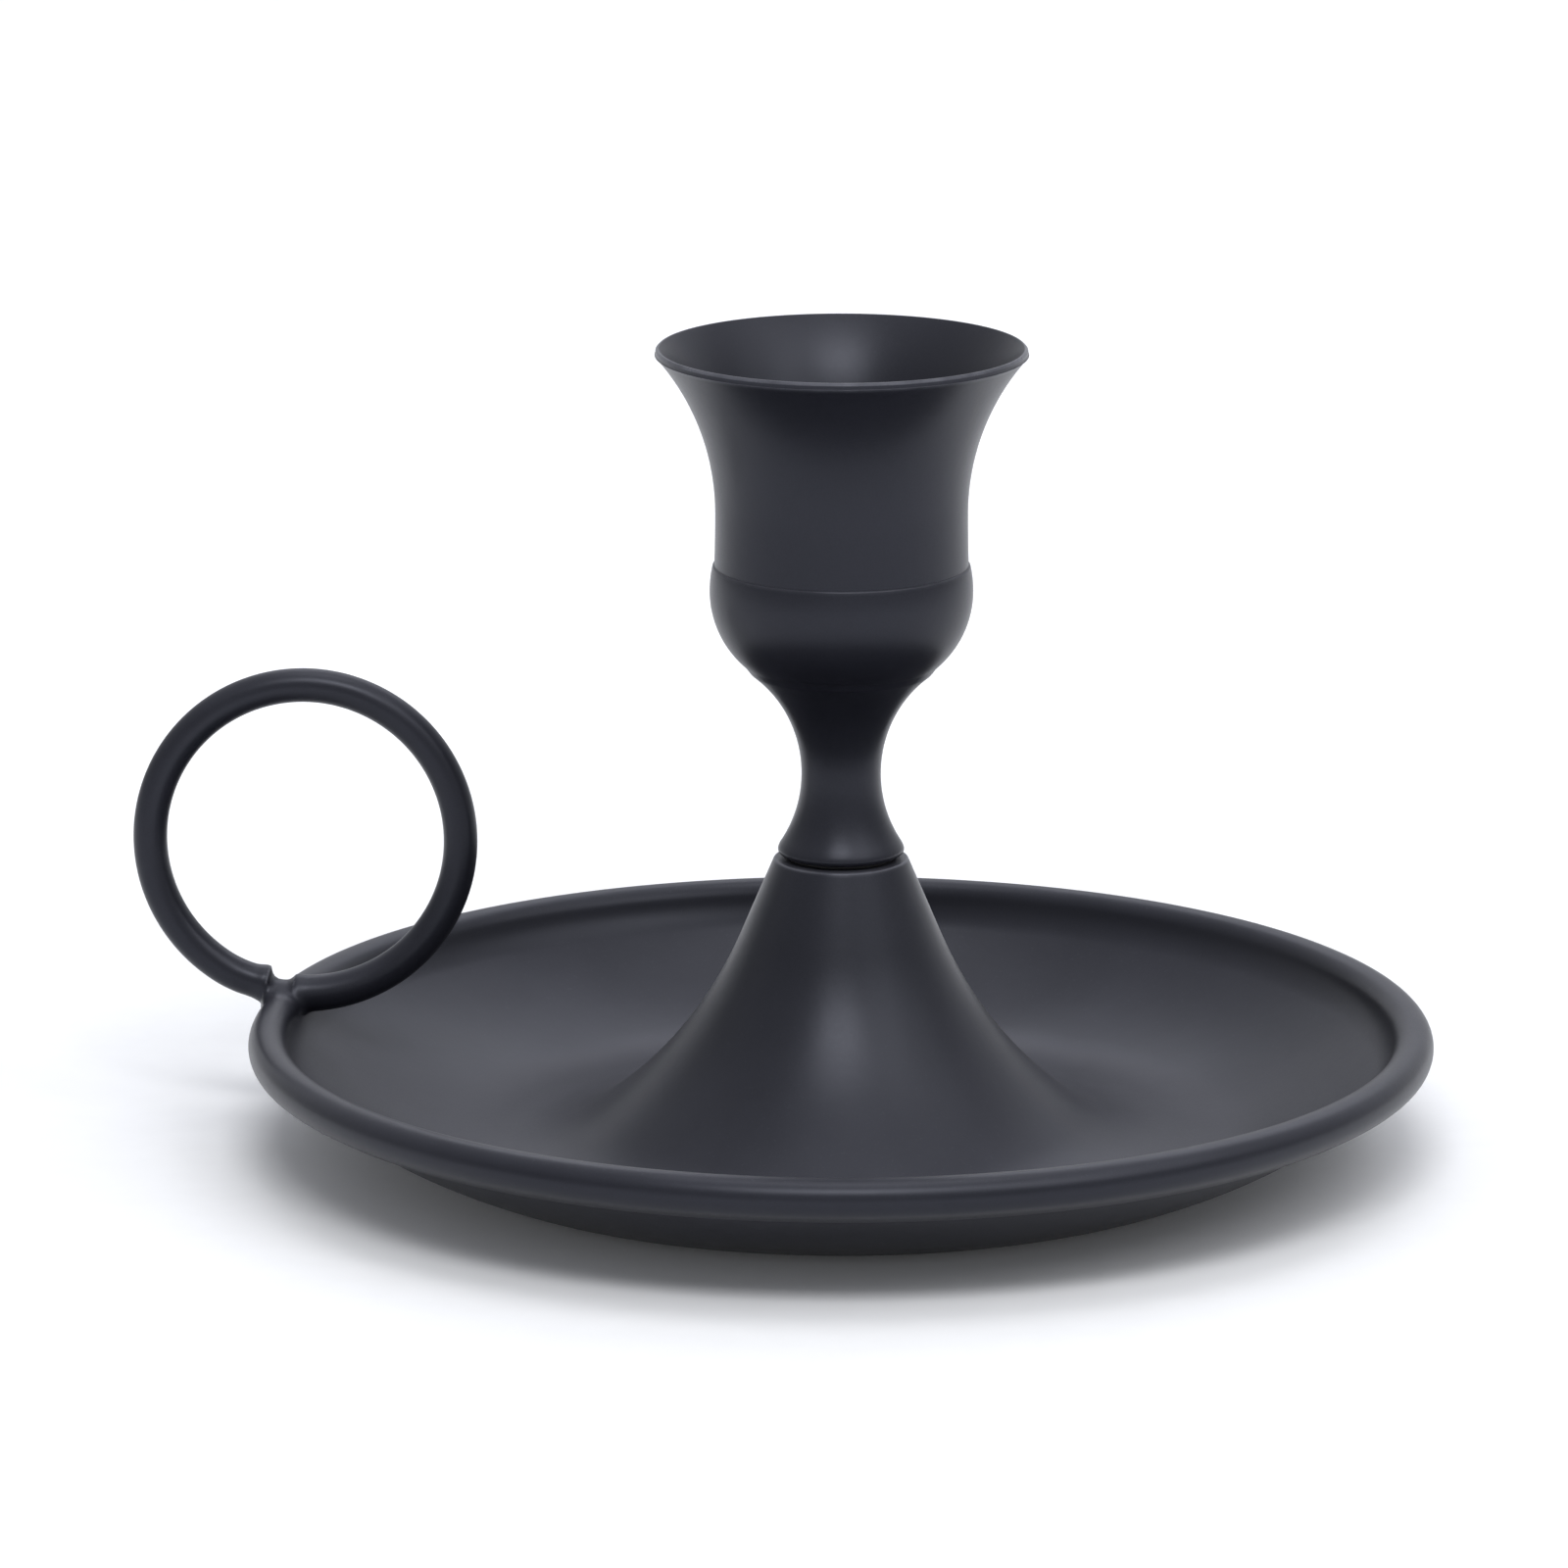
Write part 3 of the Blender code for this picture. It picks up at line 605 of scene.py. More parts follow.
# Each effect's inputs with their defaults, where a vector has none, and its outputs
EFFECTS = {
    powder_skin: (
        {"Vector": None, "Roughness": 0.4, "Peel Size": 0.001, "Grain Size": 0.00015, "Cloud Size": 0.014},
        ("Shade", "Roughness", "Height"),
    ),
    edge_burnish: ({"Vector": None, "Edge": 0.0, "Amount": 0.3}, ("Mask",)),
    fine_dust: ({"Vector": None, "Normal": None, "Amount": 0.1}, ("Mask",)),
}


def effect_group(effect):
    """An effect's shader node group, built on first use."""
    known = bpy.data.node_groups.get(effect.__name__)
    if known:
        return known
    inputs, outputs = EFFECTS[effect]
    group = bpy.data.node_groups.new(effect.__name__, "ShaderNodeTree")
    for name, default in inputs.items():
        kind = "NodeSocketVector" if default is None else "NodeSocketFloat"
        made = group.interface.new_socket(name, in_out="INPUT", socket_type=kind)
        if default is not None:
            made.default_value = default
    for name in outputs:
        group.interface.new_socket(name, in_out="OUTPUT", socket_type="NodeSocketFloat")
    given = group.nodes.new("NodeGroupInput").outputs
    result = group.nodes.new("NodeGroupOutput").inputs
    for name, value in zip(outputs, effect(group, given)):
        group.links.new(value, result[name])
    return group


def place_effect(tree, effect, inputs):
    """Places an effect's group in a material and hands out its outputs."""
    return add_node(tree, "ShaderNodeGroup", {"node_tree": effect_group(effect)}, inputs).outputs


def blank_material(name, display):
    made = bpy.data.materials.new(name)
    made.use_nodes = True
    made.diffuse_color = (*display, 1)
    tree = made.node_tree
    return made, tree, tree.nodes["Principled BSDF"]


def object_place(tree):
    return add_node(tree, "ShaderNodeTexCoord").outputs["Object"]


# Edge wear, partly a painted edge highlight
def worn_mask(tree, vector, wear):
    edge = add_node(tree, "ShaderNodeAttribute", {"attribute_name": "edge"}).outputs["Fac"]
    return place_effect(tree, edge_burnish, {"Vector": vector, "Edge": edge, "Amount": wear})["Mask"]


# Dust, partly a painted sheen on up-facing places
def dust_mask(tree, vector, dust):
    normal = add_node(tree, "ShaderNodeNewGeometry").outputs["Normal"]
    return place_effect(tree, fine_dust, {"Vector": vector, "Normal": normal, "Amount": dust})["Mask"]


def link_surface(tree, shader, base, rough, height, depth):
    """Gives a shader its colour, its roughness and a bump of one depth."""
    bump = add_node(tree, "ShaderNodeBump", {}, {"Strength": 1.0, "Distance": depth, "Height": height})
    tree.links.new(base, shader.inputs["Base Color"])
    tree.links.new(rough, shader.inputs["Roughness"])
    tree.links.new(bump.outputs["Normal"], shader.inputs["Normal"])


def coat_finish(name):
    """Satin black powder coat for one piece, with its own ripples, clouding and share of the wear and painted
    edge highlight.
    """
    finish = scene_settings().finish
    peel_depth, cloud_size, wear = COATS[name]
    made, tree, shader = blank_material(name, finish.coat)
    vector = object_place(tree)
    sizes = {"Peel Size": finish.peel, "Grain Size": finish.grain, "Cloud Size": cloud_size}
    skin = place_effect(tree, powder_skin, {"Vector": vector, "Roughness": finish.coat_roughness, **sizes})
    worn_and_highlit = worn_mask(tree, vector, finish.wear * wear)
    dusted_and_sheened = dust_mask(tree, vector, finish.dust)
    dark, light = ([c * shade for c in finish.coat] for shade in COAT_SHADES)
    base = mixed(tree, remap(tree, skin["Shade"], SHADE_SPAN), (*dark, 1), (*light, 1))
    # Lighter burnished edges, partly a painted edge highlight
    base = mixed(tree, worn_and_highlit, base, (*finish.edge, 1))
    # Lighter bluish dust on up-facing places, partly a painted sheen
    base = mixed(tree, dusted_and_sheened, base, COAT_DUST_AND_SHEEN)
    rough = maths(tree, "SUBTRACT", skin["Roughness"], times(tree, worn_and_highlit, BURNISH_SMOOTHS))
    rough = plus(tree, rough, times(tree, dusted_and_sheened, DUST_ROUGHENS))
    link_surface(tree, shader, base, rough, skin["Height"], peel_depth)
    shader.inputs["Specular IOR Level"].default_value = COAT_SPECULAR
    shader.inputs["Specular Tint"].default_value = COAT_TINT
    return made


def steel_finish(name):
    """Zinc plated steel with fine turning marks round the screws' axis."""
    finish = scene_settings().finish
    made, tree, shader = blank_material(name, finish.steel)
    vector = object_place(tree)
    worn_and_highlit = worn_mask(tree, vector, finish.wear)
    dusted_and_sheened = dust_mask(tree, vector, finish.dust)
    across = add_node(tree, "ShaderNodeVectorMath", {"operation": "MULTIPLY"}, {0: vector, 1: (1, 1, 0)})
    inputs = {"W": length_of(tree, across.outputs[0]), "Scale": STEEL_MARKS, "Detail": 3}
    marks = add_node(tree, "ShaderNodeTexNoise", {"noise_dimensions": "1D"}, inputs).outputs[0]
    dull = [c * STEEL_DULLS for c in finish.steel]
    clouds = remap(tree, noise(tree, vector, STEEL_CLOUD, detail=3.0), NOISE_SPAN)
    base = mixed(tree, clouds, (*dull, 1), (*finish.steel, 1))
    base = mixed(tree, worn_and_highlit, base, STEEL_BRIGHT)
    base = mixed(tree, dusted_and_sheened, base, STEEL_DUST)
    rough = plus(tree, remap(tree, marks, NOISE_SPAN, STEEL_ROUGHNESS), times(tree, dusted_and_sheened, DUST_ROUGHENS))
    link_surface(tree, shader, base, rough, marks, STEEL_MARK_DEPTH)
    shader.inputs["Metallic"].default_value = 1
    return made


def rubber_finish(name):
    """Moulded black rubber with a fine matt grain."""
    finish = scene_settings().finish
    made, tree, shader = blank_material(name, finish.rubber)
    vector = object_place(tree)
    skin = place_effect(tree, powder_skin, {"Vector": vector, **RUBBER_SKIN})
    dusted_and_sheened = dust_mask(tree, vector, finish.dust)
    light = [c * RUBBER_LIGHT for c in finish.rubber]
    base = mixed(tree, remap(tree, skin["Shade"], SHADE_SPAN), (*finish.rubber, 1), (*light, 1))
    base = mixed(tree, dusted_and_sheened, base, RUBBER_DUST)
    link_surface(tree, shader, base, skin["Roughness"], skin["Height"], RUBBER_PEEL)
    return made


def finish_named(name):
    """The coat, steel or rubber of that name, built on first use."""
    build = {"zinc_steel": steel_finish, "black_rubber": rubber_finish}.get(name, coat_finish)
    return bpy.data.materials.get(name) or build(name)


# The saucer


def saucer_face(sizes, roof, rim_radius):
    """The saucer's upper face, from the roof's hole out over the trumpet and pan and round the rolled rim."""
    bead_centre = (rim_radius - sizes.bead, sizes.rim_height - sizes.bead)
    neck_centre = round_from(bead_centre, sizes.bead + sizes.neck, sizes.neck_angle)
    bend_centre = (
        sizes.roof_radius - sizes.roof_bend * tan((pi / 2 - sizes.cone_angle) / 2),
        roof - sizes.roof_bend,
    )
    roof_bend = arc(bend_centre, sizes.roof_bend, pi / 2, sizes.cone_angle)
    cone_end = (sizes.roof_radius + sizes.cone_depth * tan(sizes.cone_angle), roof - sizes.cone_depth)
    flare_centre = round_from(cone_end, sizes.flare, sizes.cone_angle)
    fillet_height = sizes.sheet + sizes.floor_fillet
    reach = sizes.flare - sizes.floor_fillet
    fillet_angle = asin((flare_centre[1] - fillet_height) / reach)
    fillet_centre = (flare_centre[0] - reach * cos(fillet_angle), fillet_height)
    slope = sizes.wall_slope
    foot_centre = (sizes.foot_radius, sizes.sheet + sizes.foot_bend)
    foot_bend = arc(foot_centre, sizes.foot_bend, -pi / 2, -pi / 2 + slope)
    start = foot_bend[-1][0]
    lifted = (start[0] - sizes.neck * sin(slope), start[1] + sizes.neck * cos(slope))
    chord_slope = atan2(neck_centre[1] - lifted[1], neck_centre[0] - lifted[0])
    chord = hypot(neck_centre[0] - lifted[0], neck_centre[1] - lifted[1])
    wall_radius = chord / (2 * sin(chord_slope - slope)) + sizes.neck
    wall_centre = (start[0] - wall_radius * sin(slope), start[1] + wall_radius * cos(slope))
    wall_slope = 2 * chord_slope - slope
    bead = arc(bead_centre, sizes.bead, sizes.neck_angle, sizes.bead_edge)
    tail = bead[-1][0]
    tail_end = (
        tail[0] + sizes.bead_tail * sin(sizes.bead_edge),
        tail[1] - sizes.bead_tail * cos(sizes.bead_edge),
    )
    return joined(
        straight((sizes.bore, roof), roof_bend[0][0]),
        roof_bend,
        straight(roof_bend[-1][0], cone_end, FLANK_STEPS),
        arc(flare_centre, sizes.flare, pi + sizes.cone_angle, pi + fillet_angle),
        arc(fillet_centre, sizes.floor_fillet, pi + fillet_angle, 1.5 * pi),
        foot_bend,
        arc(wall_centre, wall_radius, -pi / 2 + slope, -pi / 2 + wall_slope),
        arc(neck_centre, sizes.neck, -pi / 2 + wall_slope, sizes.neck_angle - pi),
        bead,
        straight(tail, tail_end),
    )


class SaucerOperator(bpy.types.Operator):
    """Turn the saucer with its trumpet, pan and rolled rim"""

    bl_idname = "chamberstick.saucer"
    bl_label = "Saucer"

    def execute(self, context):
        sizes = context.scene.chamberstick.saucer
        face = saucer_face(sizes, high_of("saucer").z + sizes.roof_lift, radius_of("saucer"))
        mesh = turned("saucer_shell", sheet_outline(face, sizes.sheet), SAUCER_SIDES)
        placed("saucer_shell", mesh, "base", "saucer_coat", ["saucer"])
        return {"FINISHED"}


# The handle, whose skin is remeshed in millimetres, since a voxel is too small in metres

MM = 1000
VOXEL = 0.2
# Steps and sides of the rough tubes, and the lumps along the weld with how far they stand out of it
ROD_STEPS, RIM_STEPS, TUBE_SIDES = 96, 24, 20
WELD_LUMPS, WELD_COVER = 6, 1.1
# How far round the saucer the skin runs along the rim to either side, in radians
RIM_STRETCH = 0.11
# How far the skin's rim lies inside the saucer's own
RIM_SINK = 0.00002
# How far the outer end's lift and the inner end's swelling grow on past the rod's ends
LIFT_LIMIT, SWELL_LIMIT = 1.5, 1.2
# Rounds that move the skin's points onto the true surface, the least slope squared that
# they divide by, and the step over which slopes are measured
ROUNDS, LEAST_SLOPE = 8, 0.1
SLOPE_STEP = 0.000002


def ring_frame(sizes, bead_reach, bead_height):
    """The ring's centre and its directions outwards, across and up, as columns."""
    turn = Matrix.Rotation(sizes.twist, 3, "Z") @ Matrix.Rotation(-sizes.lean, 3, "X")
    centre = np.array((-bead_reach + sizes.inset, 0, bead_height + sizes.rise))
    return centre, np.array(turn @ Matrix(((-1, 0, 0), (0, 1, 0), (0, 0, 1))))


def smooth_least(first, second, reach):
    """The lesser of two distances, blended where they are closer than the reach."""
    near = np.clip(reach - np.abs(first - second), 0, None) / reach
    return np.minimum(first, second) - near**3 * reach / 6


class HandleShape:
    """Distances to the bent rod, the rim and the weld, in the saucer's own place about the candle's axis."""

    def __init__(self, sizes, bead, bead_reach, bead_height):
        self.sizes = sizes
        self.bead = bead
        self.bead_reach = bead_reach
        self.bead_height = bead_height
        self.centre, self.turn = ring_frame(sizes, bead_reach, bead_height)
        below = sizes.rise / cos(sizes.lean)
        beyond = (sizes.inset + sizes.rise * tan(sizes.lean) * sin(sizes.twist)) / cos(sizes.twist)
        reach = hypot(beyond, below)
        middle = atan2(beyond, below)
        self.start = asin(sizes.outer_end / reach) + middle
        self.end = 2 * pi - asin(sizes.inner_end / reach) + middle

    def on_ring(self, place, radius, across=0.0):
        """A point at an angle from straight down and outwards, a radius from the ring's centre."""
        local = np.array((radius * sin(place), across, -radius * cos(place)))
        return self.centre + self.turn @ local

    def on_rim(self, place, turn):
        """A point on the rim, at angles round the saucer from the handle's side and round its section."""
        reach = self.bead_reach + self.bead * cos(turn)
        return (-reach * cos(place), reach * sin(place), self.bead_height + self.bead * sin(turn))

    def rod(self, points):
        """Distance to the rod with its rounded, lifted outer end and its swollen inner end."""
        sizes = self.sizes
        local = (points - self.centre) @ self.turn
        middle = (self.start + self.end) / 2
        place = np.arctan2(local[:, 0], -local[:, 2])
        place = np.where(place < middle - pi, place + 2 * pi, place)
        outer = np.clip(1 - (place - self.start) * sizes.ring / sizes.bend_length, 0, LIFT_LIMIT)
        inner = np.clip(1 - (self.end - place) * sizes.ring / sizes.swell_length, 0, SWELL_LIMIT)
        swell = sizes.inner_swell * inner**2
        reach = np.hypot(local[:, 0], local[:, 2]) - sizes.ring + sizes.end_lift * outer**2 - swell
        side = np.hypot(reach, local[:, 1]) - sizes.rod - swell + sizes.rod_edge
        end = (np.abs(place - middle) - (self.end - self.start) / 2) * sizes.ring + sizes.rod_edge
        outside = np.hypot(np.clip(side, 0, None), np.clip(end, 0, None))
        return outside + np.minimum(np.maximum(side, end), 0) - sizes.rod_edge

    def rim(self, points):
        """Distance to the rolled rim."""
        reach = np.hypot(points[:, 0], points[:, 1]) - self.bead_reach
        return np.hypot(reach, points[:, 2] - self.bead_height) - self.bead + RIM_SINK

    def weld(self, points):
        """Distance to the sagging weld between the rod's ends."""
        sizes = self.sizes
        local = (points - self.centre) @ self.turn
        inner = self.end - 2 * pi
        middle, half = (inner + self.start) / 2, (self.start - inner) / 2
        place = np.arctan2(local[:, 0], -local[:, 2]) - middle
        ends = np.clip(np.abs(place) / half, 0, 1) ** 3
        shift = np.where(place > 0, -sizes.end_lift, sizes.inner_swell)
        drop = sizes.weld_drop * (1 - ends) + shift * ends
        reach = np.hypot(local[:, 0], local[:, 2]) - sizes.ring - drop
        beyond = np.clip(np.abs(place) - half, 0, None) * sizes.ring
        return np.sqrt(reach**2 + local[:, 1] ** 2 + beyond**2) - sizes.weld

    def distance(self, points):
        """Distance to the whole handle, with its fillets."""
        joint = smooth_least(self.weld(points), self.rim(points), self.sizes.rim_fillet)
        return smooth_least(joint, self.rod(points), self.sizes.rod_fillet)

    def gradient(self, points):
        """The slope of that distance along each axis."""
        parts = []
        for step in np.eye(3) * SLOPE_STEP:
            parts.append((self.distance(points + step) - self.distance(points - step)) / (2 * SLOPE_STEP))
        return np.stack(parts, axis=1)


def add_tube(shape, rings):
    """Adds a closed tube through rings of points in metres to a bmesh in millimetres."""
    tube = [[shape.verts.new(Vector(point) * MM) for point in ring] for ring in rings]
    add_bands(shape, tube, True)
    shape.faces.new(tube[0])
    shape.faces.new(tube[-1][::-1])


def rough_handle(shape):
    """Overlapping closed lumps that cover the rod, the weld and a stretch of the rim, in millimetres."""
    sizes = shape.sizes
    made = bmesh.new()
    turns = [2 * pi * side / TUBE_SIDES for side in range(TUBE_SIDES)]
    rod = [
        [shape.on_ring(place, sizes.ring + sizes.rod * cos(turn), sizes.rod * sin(turn)) for turn in turns]
        for place in spread(shape.start, shape.end, ROD_STEPS)
    ]
    stretch = spread(-RIM_STRETCH, RIM_STRETCH, RIM_STEPS)
    add_tube(made, rod)
    add_tube(made, [[shape.on_rim(place, turn) for turn in turns] for place in stretch])
    first, last = shape.on_ring(shape.start, sizes.ring), shape.on_ring(shape.end, sizes.ring)
    radius = sizes.weld * (WELD_COVER * MM)
    for place in spread(0, 1, WELD_LUMPS):
        middle = Matrix.Translation(Vector(first + (last - first) * place) * MM)
        bmesh.ops.create_icosphere(made, subdivisions=3, radius=radius, matrix=middle)
    bmesh.ops.recalc_face_normals(made, faces=made.faces)
    return made


def remeshed(name, shape):
    """One closed skin round all of a bmesh's lumps."""
    mesh = emptied(name, shape)
    made = modified(name, mesh, "REMESH", mode="VOXEL", voxel_size=VOXEL)
    bpy.data.meshes.remove(mesh)
    made.name = name
    return made


class HandleOperator(bpy.types.Operator):
    """Bend the ring handle and weld it over the rim with soft fillets"""

    bl_idname = "chamberstick.handle"
    bl_label = "Ring handle"

    def execute(self, context):
        saucer = context.scene.chamberstick.saucer
        sizes = context.scene.chamberstick.handle
        reach = radius_of("saucer") - saucer.bead
        shape = HandleShape(sizes, saucer.bead, reach, saucer.rim_height - saucer.bead)
        mesh = remeshed("ring_handle", rough_handle(shape))
        points = values_of(mesh.vertices, "co", 3) / MM
        for _ in range(ROUNDS):
            slope = shape.gradient(points)
            steep = np.maximum((slope * slope).sum(1), LEAST_SLOPE)
            points -= (shape.distance(points) / steep)[:, None] * slope
        mesh.vertices.foreach_set("co", points.astype(np.float32).ravel())
        mesh.update()
        mesh.shade_smooth()
        slope = shape.gradient(points)
        mesh.normals_split_custom_set_from_vertices(slope / np.linalg.norm(slope, axis=1)[:, None])
        placed("ring_handle", mesh, "base", "handle_coat", ["handle_ring", "handle_braze"])
        return {"FINISHED"}


# The stem and the candle cup


def bulb_under(cup, bottom):
    """The middles of the bulb's section and of the bend into its floor, and the angle where they meet."""
    belly = (cup.bulb_radius - cup.bulb_curve, bottom + cup.bulb_belly)
    reach = cup.bulb_curve - cup.bulb_corner
    meet = asin((bottom + cup.bulb_corner - belly[1]) / reach)
    return belly, (belly[0] + reach * cos(meet), bottom + cup.bulb_corner), meet


class StemOperator(bpy.types.Operator):
    """Turn the waisted stem, bored for the saucer's screw, with a thin collar that closes on the bulb"""

    bl_idname = "chamberstick.stem"
    bl_label = "Stem"

    def execute(self, context):
        sizes, cup = context.scene.chamberstick.stem, context.scene.chamberstick.cup
        bottom, top = low_of("stem").z, low_of("cup_bowl").z
        belly, corner, meet = bulb_under(cup, top)
        waist = bottom + sizes.waist_rise
        centre = (sizes.waist_radius + sizes.curve, waist)
        low, high = top - sizes.collar_low, top + sizes.collar_high
        turn = asin((high - belly[1]) / cup.bulb_curve)
        floor_bend = arc(corner, cup.bulb_corner, -pi / 2, meet)
        seat = offset(joined(floor_bend, arc(belly, cup.bulb_curve, meet, turn)), FILM)
        collar = []
        for place in spread(1, 0, FLANK_STEPS):
            height = low + (high - low) * place
            stem = centre[0] - sqrt(sizes.curve**2 - (height - waist) ** 2)
            bulb = belly[0] + sqrt(cup.bulb_curve**2 - (height - belly[1]) ** 2) + 2 * FILM
            blend = place * place * (3 - 2 * place)
            collar.append((stem + (bulb - stem) * blend, height))
        foot_drop = sqrt(sizes.curve**2 - (centre[0] - sizes.foot_radius) ** 2)
        low_turn = pi - asin((low - waist) / sizes.curve)
        side = points_of(arc(centre, sizes.curve, low_turn, pi + asin(foot_drop / sizes.curve)))
        room = radius_of("seat_washer") + sizes.seat_room
        seat_top = bottom + sizes.recess
        foot = [
            (sizes.foot_radius, waist - foot_drop),
            (sizes.foot_edge, bottom),
            (room, bottom),
            (room, seat_top),
            (sizes.bore, seat_top),
        ]
        outline = [(0, seat[0][1])] + seat + collar[:-1] + side
        outline += rounded(foot, [0, sizes.edge, 0, 0, 0])[1:]
        outline += [(sizes.bore, seat_top + sizes.bore_depth), (0, seat_top + sizes.bore_depth)]
        mesh = turned("stem_spool", outline, STEM_SIDES, closed=False)
        placed("stem_spool", mesh, "candle_head", "stem_coat", ["stem"])
        return {"FINISHED"}


def seam_of(cup, bottom, mouth):
    """The bulb's upper side and mouth: the middles of the side and of the rounded edge, the angle where they
    meet, and the point where the edge's flat ledge begins."""
    middle = (cup.bulb_radius - cup.bulb_upper, bottom + cup.bulb_belly)
    reach = cup.bulb_upper - cup.seam_edge
    turn = asin((mouth - cup.seam_edge - middle[1]) / reach)
    edge = (middle[0] + reach * cos(turn), mouth - cup.seam_edge)
    return middle, edge, turn, round_from(edge, cup.seam_edge, cup.seam_turn)


class BulbOperator(bpy.types.Operator):
    """Turn the bulb, whose mouth carries the flared sleeve"""

    bl_idname = "chamberstick.bulb"
    bl_label = "Bulb"

    def execute(self, context):
        sizes = context.scene.chamberstick.cup
        bottom, mouth = low_of("cup_bowl").z, high_of("cup_bowl").z + sizes.seam_gap
        belly, corner, meet = bulb_under(sizes, bottom)
        middle, edge, turn, ledge = seam_of(sizes, bottom, mouth)
        lip = arc(edge, sizes.seam_edge, sizes.seam_turn, turn)
        side = joined(arc(middle, sizes.bulb_upper, turn, 0), arc(belly, sizes.bulb_curve, 0, meet))
        bend = arc(corner, sizes.bulb_corner, meet, -pi / 2)
        base = straight(bend[-1][0], (sizes.bulb_bore, bottom))
        inner = offset(joined(side, bend, base), sizes.wall)
        outline = points_of(joined(lip, side, bend, base)) + inner[::-1] + [(inner[0][0], ledge[1])]
        mesh = turned("bulb", outline, CUP_SIDES)
        placed("bulb", mesh, "candle_head", "bulb_coat", ["cup_bowl"])
        return {"FINISHED"}


class SleeveOperator(bpy.types.Operator):
    """Turn the flared sleeve with its bevelled lip and its spigot"""

    bl_idname = "chamberstick.sleeve"
    bl_label = "Sleeve"

    def execute(self, context):
        sizes = context.scene.chamberstick.cup
        bottom, mouth = low_of("cup_bowl").z, high_of("cup_bowl").z + sizes.seam_gap
        seam = seam_of(sizes, bottom, mouth)[-1][1] + FILM
        top, reach = high_of("cup_sleeve").z, radius_of("cup_sleeve")
        waist = mouth + sizes.sleeve_waist_rise
        flare_centre = (sizes.sleeve_waist + sizes.sleeve_flare, waist)
        lower_centre = (sizes.sleeve_waist + sizes.sleeve_lower, waist)
        under_lip = top - sizes.lip_height
        outside = joined(
            arc(flare_centre, sizes.sleeve_flare, pi - asin((under_lip - waist) / sizes.sleeve_flare), pi),
            arc(lower_centre, sizes.sleeve_lower, pi, pi + asin((waist - seam) / sizes.sleeve_lower)),
        )
        spigot_bore = sizes.spigot - sizes.wall
        lead_top = mouth + sizes.wall + sizes.spigot_lead
        bore_turn = pi - asin((top - sizes.lip_inner - waist) / (sizes.sleeve_flare + sizes.sleeve_wall))
        lead_turn = pi + asin((waist - lead_top) / sizes.sleeve_lower)
        inside = joined(
            arc(flare_centre, sizes.sleeve_flare + sizes.sleeve_wall, bore_turn, pi),
            arc(lower_centre, sizes.sleeve_lower + sizes.sleeve_wall, pi, lead_turn),
        )
        brink = inside[0][0]
        lip = [
            brink,
            (brink[0] + sizes.lip_inner, top),
            (reach - sizes.lip_bevel, top),
            (reach, top - sizes.lip_bevel),
            (reach, top - sizes.lip_bevel - 2 * sizes.lip_edge),
            (reach, under_lip + 2 * sizes.lip_edge),
            (reach, under_lip),
            outside[0][0],
        ]
        edge = sizes.lip_edge
        outline = rounded(lip, [0, edge / 2, edge, edge, 0, 0, edge, 0])[:-1]
        outline += points_of(outside)
        outline += [(sizes.spigot, seam), (sizes.spigot, low_of("cup_sleeve").z)]
        outline += [(spigot_bore, low_of("cup_sleeve").z), (spigot_bore, mouth + sizes.wall)]
        outline += points_of(inside)[:0:-1]
        mesh = turned("flared_sleeve", outline, CUP_SIDES)
        placed("flared_sleeve", mesh, "candle_head", "cup_coat", ["cup_sleeve"])
        return {"FINISHED"}


# Screws and washers

# A thread's depth over its pitch, how steep its flanks are, and its steps a turn
THREAD_DEPTH, THREAD_FLANK, THREAD_STEPS = 0.61, 1.25, 8
# How far a shank goes on under its lower end, which hides the saucer screw's in its head
SHANK_EXTRA = 0.0001
# The radius of a head's edge on its seat
SEAT_EDGE = 0.0001
# The cross recess's span at its floor over that at its mouth, and how far its tool stands over the crown
RECESS_TAPER, TOOL_OVER = 0.55, 0.0002


def washer(name, node, body, finish, hole, edge):
    """Adds a flat washer with rounded edges in place of its node."""
    low, high = low_of(node).z, high_of(node).z
    radius = radius_of(node)
    corners = [(hole, high), (radius, high), (radius, low), (hole, low)]
    mesh = turned(name, rounded(corners, [edge] * 4), WASHER_SIDES)
    placed(name, mesh, body, finish, [node])


def add_thread(shape, radius, pitch, bottom, top):
    """Adds a shank with a real helical thread between two heights to a bmesh."""
    sides, steps = THREAD_SIDES, THREAD_STEPS
    depth = THREAD_DEPTH * pitch
    section = [depth * (1 - min(1, abs(2 * step / steps - 1) * THREAD_FLANK)) for step in range(steps)]
    rows = ceil((top - bottom) / pitch + 1) * steps
    grid = []
    for row in range(rows + 1):
        ring = []
        for side in range(sides + 1):
            height = bottom + pitch * (row / steps - 1 + side / sides)
            held = min(max(height, bottom), top)
            place = 2 * pi * side / sides
            reach = radius - section[row % steps]
            ring.append(shape.verts.new((reach * cos(place), reach * sin(place), held)))
        grid.append(ring)
    add_bands(shape, grid, False)


def add_cross(shape, sizes, crown, up):
    """Adds a tapered plus-shaped bar into a screw's crown."""
    rings = []
    floor, over = crown - up * sizes.recess_depth, crown + up * TOOL_OVER
    for height, taper in ((floor, RECESS_TAPER), (over, 1.0)):
        long, short = sizes.recess_span / 2 * taper, sizes.recess_width / 2
        ring = []
        for quarter in range(4):
            turn = Matrix.Rotation(quarter * pi / 2, 3, "Z")
            for x, y in ((long, -short), (long, short), (short, short)):
                ring.append(shape.verts.new(turn @ Vector((x, y, height))))
        rings.append(ring)
    add_bands(shape, rings, True)
    for ring in rings:
        shape.faces.new(ring)


